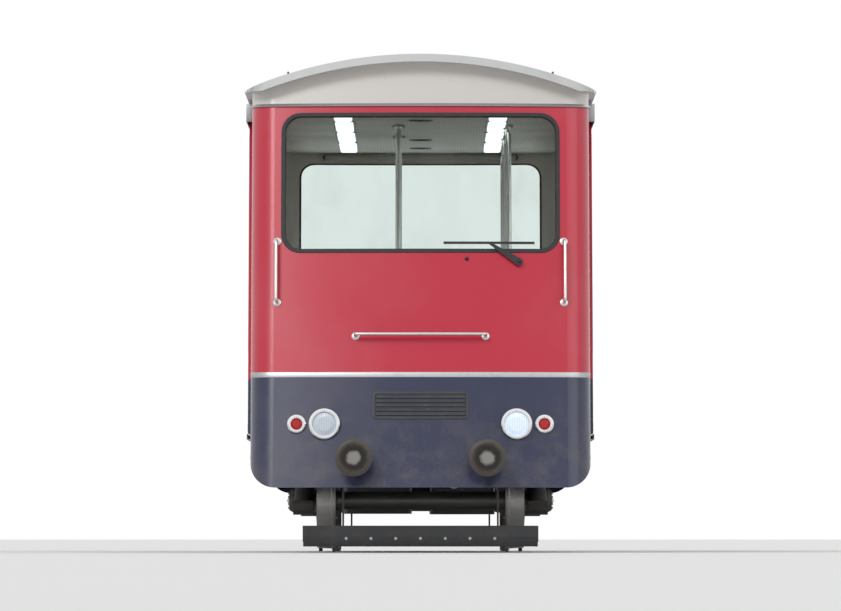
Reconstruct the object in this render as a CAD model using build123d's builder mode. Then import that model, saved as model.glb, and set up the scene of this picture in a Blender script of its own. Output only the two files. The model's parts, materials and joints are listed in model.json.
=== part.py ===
"""A small stepped funicular car: a red and navy cabin whose pillars and ends stand plumb on a 15 degree slope,
on two axles that run along the rails. +Y runs uphill along the rails, +X is on the right of someone who looks
uphill, +Z stands square on the rails, and Z = 0 is the lowest point of the wheel flanges. Millimetres, degrees.
"""

from build123d import *
import math
import os

os.makedirs("parts", exist_ok=True)

# Line and body
SLOPE = 15.0
GAUGE = 1200.0
TERRACE_PITCH = 1440.0
TERRACES = 5
DOOR_TERRACES = (1, 3)
BODY_WIDTH = 2200.0
WALL = 60.0
NOSE_BOW = 110.0
CORNER_RADIUS = 180.0
CORNER_DEPTH = 240.0

# Heights over the terraces' nosings, and drops under the top of the sole bars
WAIST_RISE = 30.0
WINDOW_RISE = 820.0
WINDOW_HEIGHT = 890.0
DOOR_RISE = 1750.0
CEILING_RISE = 1805.0
EAVES_RISE = 1890.0
ROOF_RISE = 240.0
SKIRT_DROP = 100.0
APRON_DROP = 280.0

# Shell details
APRON_WALL = 40.0
APRON_CORNER = 160.0
ROOF_WALL = 50.0
ROOF_LIP = 12.0
ROOF_SIDE_OVERHANG = 40.0
ROOF_END_OVERHANG = 100.0
CEILING_THICKNESS = 15.0
GLASS = 8.0
GLASS_INSET = 18.0
SCREEN_WIDTH = 1780.0
SCREEN_OFFSET = 20.0
SCREEN_CORNER = 110.0
WINDOW_CORNER = 70.0
PILLAR = 120.0
MULLION = 70.0

# Floor and the webs under it
FLOOR_THICKNESS = 30.0
WEB_THICKNESS = 12.0
WEB_SETBACK = 90.0
WEB_HOLE_START = 90.0
WEB_HOLE_LENGTH = 430.0
WEB_HOLE_HEIGHT = 150.0
WEB_HOLE_MARGIN = 45.0
WEB_HOLE_CORNER = 40.0

# Sliding doors
DOORWAY = 1000.0
LEAF = 40.0
LEAF_LAP = 25.0
LEAF_SILL_LAP = 27.0
LEAF_HEAD_LAP = 20.0
LEAF_SPLIT = 6.0
DOOR_GAP = 8.0
LEAF_BORDER = 85.0
LEAF_GLASS_RISE = 180.0
LEAF_GLASS_DROP = 60.0
LEAF_RECESS = 6.0
LEAF_RECESS_CORNER = 40.0
TRACK_SHEET = 5.0
TRACK_CLEARANCE = 7.0
TRACK_DROP = 25.0
TRACK_SKIRT_LAP = 5.0
TRACK_MARGIN = 40.0
RAIL_BAR = (12.0, 20.0)
RAIL_BAR_RISE = 15.0
ROLLER_RADIUS = 20.0
ROLLER_WIDTH = 12.0
ROLLER_CLEARANCE = 0.5
HANGER = (8.0, 70.0)
HANGER_CROWN = 15.0
GUIDE_WALL = 4.0
GUIDE_DEPTH = 37.0
GUIDE_CLEARANCE = 8.0
GUIDE_BLADE = (6.0, 60.0, 25.0)

# Wheelsets
WHEELBASE = 3800.0
TREAD_RADIUS = 320.0
TREAD_TAPER = 1 / 20
FLANGE_DEPTH = 25.0
FLANGE_THICKNESS = 30.0
FLANGE_SLOPE = 10.0
FLANGE_PLAY = 5.0
WHEEL_WIDTH = 125.0
WHEEL_WEB = 22.0
WEB_OFFSET = 12.0
RIM_DEPTH = 55.0
RIM_BEVEL = 22.0
HUB_RADIUS = 105.0
HUB_BEVEL = 30.0
AXLE_RADIUS = 60.0
SEAT_RADIUS = 70.0
SEAT_MARGIN = 15.0
SEAT_TAPER = 40.0
JOURNAL_RADIUS = 45.0
JOURNAL_CLEARANCE = 0.08

# Axle boxes and their springs
AXLE_BOX_INNER = 715.0
AXLE_BOX = 190.0
AXLE_BOX_CORNER = 40.0
AXLE_END = 830.0
END_PLAY = 20.0
COVER_DEPTH = 26.0
COVER_MARGIN = 15.0
COVER_TAPER = 30.0
WING_REACH = 250.0
WING_DROP = 2.0
WING_THICKNESS = 18.0
WING_ROOT = 25.0
SPRING_X = 780.0
SPRING_RADIUS = 65.0
SPRING_TOP_RADIUS = 42.0
SPRING_RINGS = 3
SPRING_PLATE = (6.0, 8.0)

# Underframe
SOLE_BAR_X = 745.0
SOLE_BAR_WIDTH = 70.0
SOLE_BAR_DEPTH = 180.0
SOLE_BAR_OVER_WHEELS = 10.0
FLOOR_OVER_WHEELS = 33.0
SOLE_BAR_WALL = 12.0
HEADSTOCK = 60.0
HEADSTOCK_GAP = 30.0
CROSS_BEARERS = (-3000.0, -900.0, 0.0, 900.0, 2700.0)
BEARER_FLANGE = 100.0
BEARER_WALL = 14.0
BEARER_HOLE = (300.0, 90.0)
BEARER_HOLE_X = 370.0
OUTRIGGER_TIP = 50.0
DRAFT_BEAM = 130.0

# Buffers, lamps and wipers
BUFFER_X = 430.0
BUFFER_REACH = 140.0
BUFFER_CASE = 80.0
BUFFER_CASE_LIP = (90.0, 14.0)
BUFFER_PLUNGER = 55.0
BUFFER_STROKE = 80.0
BUFFER_HEAD = (120.0, 12.0)
BUFFER_HEAD_CONE = 10.0
BUFFER_CHAMFER = (20.0, 8.0)
BUFFER_HOLE = 96.0
LAMP_RISE = 130.0
LAMP_PROUD = 6.0
LAMP_RIM = 12.0
LAMP_BACK = 20.0
LAMP_BULB = 16.0
LAMP_BOWL = 0.8
LENS_SEAT = 12.0
LENS_PLAY = 0.5
LENS_FLAT = 0.6
HEADLAMP = (620.0, 90.0, 95.0)
TAIL_LAMP = (800.0, 50.0, 70.0)
WIPER_PIVOT_X = 640.0
WIPER_PIVOT_DROP = 75.0
WIPER_BLADE = (150.0, 740.0)
WIPER_BLADE_RISE = 50.0
WIPER_WIDTH = 16.0
WIPER_ARM_GAP = 12.0
WIPER_ARM = 10.0
WIPER_BOSS = 24.0

# Guard ploughs
PLOUGH_HALF = 760.0
PLOUGH_FLAT = 560.0
PLOUGH_SWEEP = 130.0
PLOUGH_BEND = 90.0
PLOUGH_BOTTOM = 70.0
PLOUGH_TOP = 175.0
PLOUGH_PLATE = 12.0
PLOUGH_SETBACK = 30.0
PLOUGH_STAY_X = 500.0
PLOUGH_STAY_FOOT = 40.0
PLOUGH_STAY_HEAD = 260.0

# Track brakes
RAIL_HEAD = 66.0
SHOE_GAP = 10.0
SHOE = (24.0, 280.0, 60.0)
SHOE_LIFT = 4.0
SHOE_NOSE = 40.0
LEVER_PIVOT = (52.0, 235.0, 34.0)
LEVER_TOP = (58.0, 400.0, 24.0)
LEVER_FOOT = (57.0, 60.0, 18.0)
LEVER_LENGTH = 60.0
BRAKE_PLATE = 14.0
BRAKE_PLATE_WIDTH = 200.0
BRAKE_PIN = 16.0
BRAKE_CYLINDER = 36.0
BRAKE_ROD = 14.0

# Rope attachment
ROPE_X = 120.0
ROPE_DROP = 190.0
ROPE_RADIUS = 15.0
ROPE_PIN = 25.0
PIN_PLAY = 0.5
PIN_SETBACK = 120.0
CHEEK_GAP = 70.0
CHEEK = 20.0
CHEEK_EYE = 60.0
CHEEK_BASE = (420.0, 20.0)
TANG = 64.0
TANG_EYE = 48.0
TANG_NECK = (130.0, 70.0)
SOCKET_LENGTH = 250.0
SOCKET_BASE = 60.0
SOCKET_MOUTH = 32.0
ROPE_BORE = 220.0

# Boxes between the sole bars
BOX_X = 290.0
BOX_WIDTH = 460.0
BOX_LENGTH = 880.0
BOX_HEIGHT = 260.0
BOX_GAP = 30.0
BOX_CORNER = 30.0
RIB = (8.0, 14.0)
BOX_RIBS = 3
TANK_LENGTH = 460.0
MOTOR_RADIUS = 80.0
MOTOR_DROP = 130.0
MOTOR_FIN = (14.0, 8.0)
MOTOR_FINS = 9
MOTOR_FOOT = 110.0

# Inside: a pair of seats on the left of the aisle and a single one on the right
AISLE = (-150.0, 590.0)
SEAT_SIDE_GAP = 10.0
SEAT_DEPTH = 460.0
SEAT_HEIGHT = 440.0
SEAT_BACK = 805.0
SEAT_SHELL = 18.0
SEAT_LIP = (30.0, 45.0)
SEAT_FALL = 20.0
SEAT_ROOT = 110.0
SEAT_REST = 35.0
SEAT_BEND = 28.0
SEAT_LEG = 30.0
SEAT_LEG_INSET = 90.0
LEG_FOOT = (190.0, 350.0)
LEG_HEAD = (150.0, 410.0)
LEG_CUT = 22.0
STEP_GAP = 50.0
STEP_TREAD = 280.0
STEP_NOSE = 12.0
POLE_EDGE = 65.0
POLE_RADIUS = 17.5
POLE_BEND = 120.0
HAND_RAIL_DROP = 125.0
DESK_STATION = 3540.0
DESK_X = 380.0
DESK_WIDTH = 520.0
DESK_FOOT = 180.0
DESK_TOP = 300.0
DESK_HEIGHT = 820.0
DESK_RISE = 140.0
DESK_EDGE = 45.0
DESK_ROUND = 14.0

# Roof vents
VENT_Y = 1500.0
VENT = (620.0, 820.0, 70.0)
VENT_CORNER = 60.0
VENT_TAPER = 25.0
VENT_EDGE = 12.0

# Sizes worked out from those above
SIN = math.sin(math.radians(SLOPE))
COS = math.cos(math.radians(SLOPE))
TAN = math.tan(math.radians(SLOPE))
PLUMB = (0.0, SIN, COS)
BODY_LENGTH = TERRACES * TERRACE_PITCH
AXLE_Z = FLANGE_DEPTH + TREAD_RADIUS
WHEEL_TOP = AXLE_Z + TREAD_RADIUS + FLANGE_DEPTH
SOLE_BAR_TOP = WHEEL_TOP + SOLE_BAR_OVER_WHEELS
SOLE_BAR_BOTTOM = SOLE_BAR_TOP - SOLE_BAR_DEPTH
SOLE_BAR_MIDDLE = (SOLE_BAR_TOP + SOLE_BAR_BOTTOM) / 2
SOLE_BAR_CENTRE = SOLE_BAR_X + SOLE_BAR_WIDTH / 2
NOSING_HEIGHT = WHEEL_TOP + FLOOR_OVER_WHEELS + FLOOR_THICKNESS * (SIN + COS) + TERRACE_PITCH * SIN * COS
SKIRT_BOTTOM = SOLE_BAR_TOP - SKIRT_DROP
APRON_BOTTOM = SOLE_BAR_TOP - APRON_DROP
WAIST = NOSING_HEIGHT + WAIST_RISE
WINDOW_BOTTOM = NOSING_HEIGHT + WINDOW_RISE
WINDOW_TOP = WINDOW_BOTTOM + WINDOW_HEIGHT
SCREEN_BOTTOM = WINDOW_BOTTOM + SCREEN_OFFSET
SCREEN_TOP = WINDOW_TOP + SCREEN_OFFSET
DOOR_HEAD = NOSING_HEIGHT + DOOR_RISE
CEILING_BOTTOM = NOSING_HEIGHT + CEILING_RISE
EAVES = NOSING_HEIGHT + EAVES_RISE
CROWN = EAVES + ROOF_RISE
LEVEL_HEIGHT = (APRON_BOTTOM + CROWN) / 2
HALF_WIDTH = BODY_WIDTH / 2
INNER_HALF = HALF_WIDTH - WALL
BOW_RADIUS = (HALF_WIDTH**2 + NOSE_BOW**2) / (2 * NOSE_BOW)
LEVEL_LENGTH = BODY_LENGTH * COS
BOW_CENTRE = LEVEL_LENGTH / 2 + NOSE_BOW - BOW_RADIUS
ROOF_HALF = HALF_WIDTH + ROOF_SIDE_OVERHANG
ROOF_ARCH = ROOF_RISE - ROOF_LIP
ROOF_RADIUS = (ROOF_HALF**2 + ROOF_ARCH**2) / (2 * ROOF_ARCH)
ROOF_CENTRE_Z = CROWN - ROOF_RADIUS
JOINT = BODY_LENGTH / 2 - CORNER_DEPTH
WHEEL_INNER = GAUGE / 2 - FLANGE_PLAY - FLANGE_THICKNESS
LEAF_INNER = HALF_WIDTH + DOOR_GAP
LEAF_OUTER = LEAF_INNER + LEAF
LOWEST_SILL = NOSING_HEIGHT - (TERRACE_PITCH + DOORWAY) / 2 * SIN * COS
LEAF_BOTTOM = LOWEST_SILL - LEAF_SILL_LAP
LEAF_TOP = DOOR_HEAD + LEAF_HEAD_LAP
LEAF_GLASS_BOTTOM = NOSING_HEIGHT + LEAF_GLASS_RISE
LEAF_GLASS_TOP = DOOR_HEAD - LEAF_GLASS_DROP
TRACK_TOP = EAVES - TRACK_DROP
TRACK_SKIRT = DOOR_HEAD - TRACK_SKIRT_LAP
RAIL_BAR_BOTTOM = LEAF_TOP + RAIL_BAR_RISE
GUIDE_LIP_Z = LEAF_BOTTOM - GUIDE_CLEARANCE
GUIDE_BASE_Z = GUIDE_LIP_Z - GUIDE_DEPTH
GUIDE_BLADE_Z = LEAF_BOTTOM - GUIDE_BLADE[2]
WING_TOP = AXLE_Z - WING_DROP
BUFFER_Z = SOLE_BAR_MIDDLE
LAMP_Z = SOLE_BAR_TOP + LAMP_RISE
ROPE_Z = SOLE_BAR_BOTTOM - ROPE_DROP
HAND_RAIL_Z = CEILING_BOTTOM - HAND_RAIL_DROP
REACH = BODY_LENGTH
LEVEL_PLANE = Plane(origin=(0, 0, LEVEL_HEIGHT), x_dir=(1, 0, 0), z_dir=PLUMB)
BOTH_ENDS = {"downhill": -1, "uphill": 1}
BOTH_SIDES = {"left": -1, "right": 1}


def lean(height):
    """How far uphill a plumb line has moved at this height, from where it crosses the level height."""
    return (height - LEVEL_HEIGHT) * TAN


def station(terrace):
    """The riser line in front of a terrace, counted from the downhill end."""
    return terrace * TERRACE_PITCH - BODY_LENGTH / 2


def tread_height(terrace, along):
    """Height of a terrace's level tread on the plumb line at this station."""
    return NOSING_HEIGHT - (along - station(terrace)) * SIN * COS


def slab(bottom, top):
    """Keeps only what lies between two heights above the rails."""
    with Locations((0, 0, (bottom + top) / 2)):
        Box(2 * BODY_WIDTH, 4 * REACH, top - bottom, mode=Mode.INTERSECT)


def plumb_length(rise):
    """Length along a plumb line that gains this much height above the rails."""
    return rise / COS


def terrace_plane(terrace, along, x):
    """Side-elevation plane on a tread: its x runs level uphill and its y plumb upwards."""
    height = tread_height(terrace, along)
    origin = (x, along + lean(height), height)
    return Plane(origin=origin, x_dir=(0, COS, -SIN), z_dir=(1, 0, 0))


def body_plan(inset, stretch=0.0):
    """The body's level outline, drawn in from its skin: straight sides, bowed ends and rounded corners."""
    half = HALF_WIDTH - inset
    radius = BOW_RADIUS - inset
    tip = BOW_CENTRE + radius + stretch
    corner = BOW_CENTRE + math.sqrt(radius**2 - half**2) + stretch
    with BuildSketch() as plan:
        with BuildLine():
            Line((-half, -corner), (-half, corner))
            ThreePointArc((-half, corner), (0, tip), (half, corner))
            Line((half, corner), (half, -corner))
            ThreePointArc((half, -corner), (0, -tip), (-half, -corner))
        make_face()
        fillet(plan.vertices(), CORNER_RADIUS - inset)
    return plan.sketch


def end_ring(end, outer, inner):
    """The part of the body's wall in plan that turns round one end, between two insets from the skin."""
    with BuildSketch() as ring:
        add(body_plan(outer))
        add(body_plan(inner), mode=Mode.SUBTRACT)
        with Locations((0, end * (JOINT * COS + REACH / 2))):
            Rectangle(2 * BODY_WIDTH, REACH, mode=Mode.INTERSECT)
    return ring.sketch


def plumb_panel(low, high, bottom, top, corner=0.0):
    """A panel in side elevation: plumb ends at two stations, and edges along the rails at two heights."""
    with BuildSketch() as panel:
        with BuildLine():
            Polyline(
                (low + lean(bottom), bottom),
                (high + lean(bottom), bottom),
                (high + lean(top), top),
                (low + lean(top), top),
                close=True,
            )
        make_face()
        if corner:
            fillet(panel.vertices(), corner)
    return panel.sketch


def doorway_outline(terrace):
    """A doorway in side elevation: plumb jambs, a level threshold on its terrace, a head along the rails."""
    low = station(terrace) + (TERRACE_PITCH - DOORWAY) / 2
    high = low + DOORWAY
    low_sill = tread_height(terrace, low)
    high_sill = tread_height(terrace, high)
    with BuildSketch() as outline:
        with BuildLine():
            Polyline(
                (low + lean(low_sill), low_sill),
                (high + lean(high_sill), high_sill),
                (high + lean(DOOR_HEAD), DOOR_HEAD),
                (low + lean(DOOR_HEAD), DOOR_HEAD),
                close=True,
            )
        make_face()
    return outline.sketch


def under_roof():
    """Everything above the eaves and the roof's underside, seen from the end."""
    with BuildSketch() as outline:
        with Locations((0, EAVES + ROOF_RISE)):
            Rectangle(2 * BODY_WIDTH, 2 * ROOF_RISE)
        with Locations((0, ROOF_CENTRE_Z)):
            Circle(ROOF_RADIUS - ROOF_WALL, mode=Mode.SUBTRACT)
    return outline.sketch


def screen_outline():
    """The windscreen opening seen from the end."""
    with BuildSketch() as outline:
        with Locations((0, (SCREEN_BOTTOM + SCREEN_TOP) / 2)):
            RectangleRounded(SCREEN_WIDTH, SCREEN_TOP - SCREEN_BOTTOM, SCREEN_CORNER)
    return outline.sketch


def apron_outline():
    """An apron seen from the end: square at the waist, its lower corners turned up to the side panels."""
    with BuildSketch() as outline:
        with Locations((0, (APRON_BOTTOM + WAIST) / 2)):
            Rectangle(BODY_WIDTH, WAIST - APRON_BOTTOM)
        fillet(outline.vertices().group_by(Axis.Y)[0], APRON_CORNER)
    return outline.sketch


def nose_face(end, x, height, inset=0.0):
    """Where the skin of one end stands along the rails, at this distance off the middle and this height."""
    return end * (BOW_CENTRE + math.sqrt((BOW_RADIUS - inset) ** 2 - x**2)) / COS + lean(height)


def lamp_plane(end, sign, lamp):
    """Half-section plane of one lamp: x away from its axis, y along the rails, 0 at its front edge."""
    x, radius, _ = lamp
    front = nose_face(end, x - radius, LAMP_Z + end * radius) + end * LAMP_PROUD
    return Plane(origin=(sign * x, front, LAMP_Z), x_dir=(1, 0, 0), z_dir=(0, 0, 1))


def pan_underside(setback):
    """Height of a seat's underside over its tread, at this distance in front of the seat's back station."""
    slope = SEAT_FALL / (SEAT_DEPTH - SEAT_LIP[0] - SEAT_ROOT)
    half_shell = SEAT_SHELL / 2 * math.sqrt(1 + slope**2)
    return SEAT_HEIGHT - SEAT_FALL + (setback - SEAT_ROOT) * slope - half_shell


def save(piece, name):
    """Names a finished piece and writes it."""
    piece.part.label = name
    export_step(piece.part, f"parts/{name}.step")


# Benches: terrace, the station their backs stand at, and which way their backs are (1 is uphill)
BENCHES = (
    (0, station(1), 1),
    (2, station(3), 1),
    (4, station(4), -1),
)

# Benches across the car: first edge, and the way from it to the wall
BENCH_SPANS = (
    (AISLE[0], -INNER_HALF + SEAT_SIDE_GAP),
    (AISLE[1], INNER_HALF - SEAT_SIDE_GAP),
)

# Ends of the underframe, each a clear gap inside its apron
frame_low = -(BODY_LENGTH / 2) + lean(SOLE_BAR_TOP) + HEADSTOCK_GAP
frame_high = BODY_LENGTH / 2 + lean(SOLE_BAR_BOTTOM) - HEADSTOCK_GAP

# Windows of one side: first and last station of each pane, between the doorways
door_edges = [
    (station(k) + (TERRACE_PITCH - DOORWAY) / 2, station(k) + (TERRACE_PITCH + DOORWAY) / 2)
    for k in DOOR_TERRACES
]
(first_low, first_high), (last_low, last_high) = door_edges
SIDE_WINDOWS = (
    (PILLAR - JOINT, first_low - PILLAR),
    (first_high + PILLAR, -MULLION / 2),
    (MULLION / 2, last_low - PILLAR),
    (last_high + PILLAR, JOINT - PILLAR),
)

# Side walls and lower side panels
for side, sign in BOTH_SIDES.items():
    skin = sign * HALF_WIDTH
    with BuildPart() as side_wall:
        with BuildSketch(Plane.YZ.offset(skin)):
            add(plumb_panel(-JOINT, JOINT, WAIST, EAVES))
            for low, high in SIDE_WINDOWS:
                add(plumb_panel(low, high, WINDOW_BOTTOM, WINDOW_TOP, WINDOW_CORNER), mode=Mode.SUBTRACT)
            for terrace in DOOR_TERRACES:
                add(doorway_outline(terrace), mode=Mode.SUBTRACT)
        extrude(amount=-sign * WALL)
    save(side_wall, f"side_wall_{side}")

    with BuildPart() as lower_panel:
        with BuildSketch(Plane.YZ.offset(skin)):
            add(plumb_panel(-JOINT, JOINT, SKIRT_BOTTOM, WAIST))
            for terrace in DOOR_TERRACES:
                add(doorway_outline(terrace), mode=Mode.SUBTRACT)
        extrude(amount=-sign * WALL)
    save(lower_panel, f"lower_panel_{side}")

with BuildPart() as side_windows:
    for sign in BOTH_SIDES.values():
        with BuildSketch(Plane.YZ.offset(sign * (HALF_WIDTH - GLASS_INSET))):
            for low, high in SIDE_WINDOWS:
                add(plumb_panel(low, high, WINDOW_BOTTOM, WINDOW_TOP, WINDOW_CORNER))
        extrude(amount=-sign * GLASS)
save(side_windows, "side_windows")

# End walls and aprons
for end_name, end in BOTH_ENDS.items():
    with BuildPart() as end_wall:
        with BuildSketch(LEVEL_PLANE):
            add(end_ring(end, 0.0, WALL))
        extrude(amount=REACH, both=True)
        slab(WAIST, CROWN)
        with BuildSketch(Plane.XZ):
            add(under_roof())
        extrude(amount=REACH, both=True, mode=Mode.SUBTRACT)
        with BuildSketch(Plane.XZ):
            add(screen_outline())
        extrude(amount=-end * REACH, mode=Mode.SUBTRACT)
    save(end_wall, f"end_wall_{end_name}")

    with BuildPart() as apron:
        with BuildSketch(LEVEL_PLANE):
            add(end_ring(end, 0.0, APRON_WALL))
        extrude(amount=REACH, both=True)
        with BuildSketch(Plane.XZ):
            add(apron_outline())
        extrude(amount=-end * REACH, mode=Mode.INTERSECT)
        with BuildSketch(Plane.XZ):
            for sign in BOTH_SIDES.values():
                for x, radius, _ in (HEADLAMP, TAIL_LAMP):
                    with Locations((sign * x, LAMP_Z)):
                        Circle(radius)
                with Locations((sign * BUFFER_X, BUFFER_Z)):
                    Circle(BUFFER_HOLE)
        extrude(amount=-end * REACH, mode=Mode.SUBTRACT)
    save(apron, f"apron_{end_name}")

# Windscreens, bowed with the skin
screens = []
for end in BOTH_ENDS.values():
    with BuildPart() as screen:
        with BuildSketch(LEVEL_PLANE):
            add(end_ring(end, GLASS_INSET, GLASS_INSET + GLASS))
        extrude(amount=REACH, both=True)
        with BuildSketch(Plane.XZ):
            add(screen_outline())
        extrude(amount=-end * REACH, mode=Mode.INTERSECT)
    screens.append(screen.part)
with BuildPart() as windscreens:
    add(screens)
save(windscreens, "windscreens")

# Wipers in front of the driver's places: arm and boss outside the skin, blade down on the glass
wiper_pieces = []
for end, sign in ((-1, 1), (1, -1)):
    pivot = (sign * WIPER_PIVOT_X, SCREEN_BOTTOM - WIPER_PIVOT_DROP)
    blade_z = SCREEN_BOTTOM + WIPER_BLADE_RISE
    blade_ends = [(sign * x, blade_z) for x in WIPER_BLADE]
    arm_outer = -(WIPER_ARM_GAP + WIPER_ARM)
    with BuildPart() as arm:
        with BuildSketch(LEVEL_PLANE):
            add(end_ring(end, arm_outer, -WIPER_ARM_GAP))
        extrude(amount=REACH, both=True)
        with BuildSketch(Plane.XZ):
            with Locations(pivot):
                Circle(WIPER_BOSS)
            with Locations((sum(WIPER_BLADE) / 2 * sign, blade_z)):
                Circle(WIPER_WIDTH / 2)
            make_hull()
        extrude(amount=-end * REACH, mode=Mode.INTERSECT)
    with BuildPart() as boss:
        with BuildSketch(LEVEL_PLANE):
            add(end_ring(end, -WIPER_ARM_GAP, 0.0))
        extrude(amount=REACH, both=True)
        with BuildSketch(Plane.XZ):
            with Locations(pivot):
                Circle(WIPER_BOSS)
        extrude(amount=-end * REACH, mode=Mode.INTERSECT)
    with BuildPart() as blade:
        with BuildSketch(LEVEL_PLANE):
            add(end_ring(end, -WIPER_ARM_GAP, GLASS_INSET))
        extrude(amount=REACH, both=True)
        with BuildSketch(Plane.XZ):
            with BuildLine() as blade_line:
                Line(*blade_ends)
            trace(blade_line.wires(), WIPER_WIDTH)
        extrude(amount=-end * REACH, mode=Mode.INTERSECT)
    wiper_pieces += [arm.part, boss.part, blade.part]
with BuildPart() as wipers:
    add(wiper_pieces)
save(wipers, "wipers")

# Roof shell, ceiling and roof vents
with BuildPart() as roof:
    with BuildSketch(Plane.XZ):
        with Locations((0, ROOF_CENTRE_Z)):
            Circle(ROOF_RADIUS)
            Circle(ROOF_RADIUS - ROOF_WALL, mode=Mode.SUBTRACT)
        with Locations((0, EAVES + ROOF_RISE)):
            Rectangle(2 * ROOF_HALF, 2 * ROOF_RISE, mode=Mode.INTERSECT)
    extrude(amount=REACH, both=True)
    with BuildSketch(LEVEL_PLANE):
        add(body_plan(-ROOF_SIDE_OVERHANG, ROOF_END_OVERHANG - ROOF_SIDE_OVERHANG))
    extrude(amount=REACH, both=True, mode=Mode.INTERSECT)
save(roof, "roof")

with BuildPart() as ceiling:
    with BuildSketch(LEVEL_PLANE):
        add(body_plan(WALL))
    extrude(amount=REACH, both=True)
    slab(CEILING_BOTTOM, CEILING_BOTTOM + CEILING_THICKNESS)
save(ceiling, "ceiling")

vent_width, vent_length, vent_rise = VENT
with BuildPart() as roof_vents:
    with BuildSketch(Plane.XY.offset(CROWN - vent_rise)):
        with Locations((0, -VENT_Y), (0, VENT_Y)):
            RectangleRounded(vent_width, vent_length, VENT_CORNER)
    extrude(amount=2 * vent_rise, taper=VENT_TAPER)
    chamfer(roof_vents.faces().filter_by(Axis.Z).group_by(Axis.Z)[-1].edges(), VENT_EDGE)
    with BuildSketch(Plane.XZ):
        with Locations((0, ROOF_CENTRE_Z)):
            Circle(ROOF_RADIUS)
    extrude(amount=REACH, both=True, mode=Mode.SUBTRACT)
save(roof_vents, "roof_vents")

# Terraced floor: level treads and plumb risers of one even thickness, and the webs that carry them
tread_line = []
for terrace in range(TERRACES):
    for along in (station(terrace), station(terrace + 1)):
        height = tread_height(terrace, along)
        tread_line.append((along + lean(height), height))
lead = 2 * NOSE_BOW
tread_line[0] = (tread_line[0][0] - lead * COS, tread_line[0][1] + lead * SIN)
tread_line[-1] = (tread_line[-1][0] + lead * COS, tread_line[-1][1] - lead * SIN)
web_ends = (WEB_SETBACK - BODY_LENGTH / 2, BODY_LENGTH / 2 - WEB_SETBACK)
drop = (FLOOR_THICKNESS * (COS - SIN), -FLOOR_THICKNESS * (COS + SIN))
under_line = [(y + drop[0], z + drop[1]) for y, z in tread_line]

with BuildPart() as floor:
    with BuildSketch(Plane.YZ.offset(-INNER_HALF)):
        with BuildLine():
            Polyline(*tread_line, *reversed(under_line), close=True)
        make_face()
    extrude(amount=2 * INNER_HALF)
    with BuildSketch(LEVEL_PLANE):
        add(body_plan(WALL))
    extrude(amount=REACH, both=True, mode=Mode.INTERSECT)
save(floor, "floor")

with BuildPart() as floor_webs:
    for sign in BOTH_SIDES.values():
        with BuildSketch(Plane.YZ.offset(sign * SOLE_BAR_CENTRE - WEB_THICKNESS / 2)):
            with BuildLine():
                Polyline(
                    *under_line,
                    (under_line[-1][0], SKIRT_BOTTOM),
                    (under_line[0][0], SKIRT_BOTTOM),
                    close=True,
                )
            make_face()
            add(plumb_panel(*web_ends, SOLE_BAR_TOP, WAIST), mode=Mode.INTERSECT)
            for terrace in range(TERRACES):
                hole_low = station(terrace) + WEB_HOLE_START
                hole_bottom = SOLE_BAR_TOP + WEB_HOLE_MARGIN
                hole = plumb_panel(
                    hole_low,
                    hole_low + WEB_HOLE_LENGTH,
                    hole_bottom,
                    hole_bottom + WEB_HOLE_HEIGHT,
                    WEB_HOLE_CORNER,
                )
                add(hole, mode=Mode.SUBTRACT)
        extrude(amount=WEB_THICKNESS)
save(floor_webs, "floor_webs")

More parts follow.
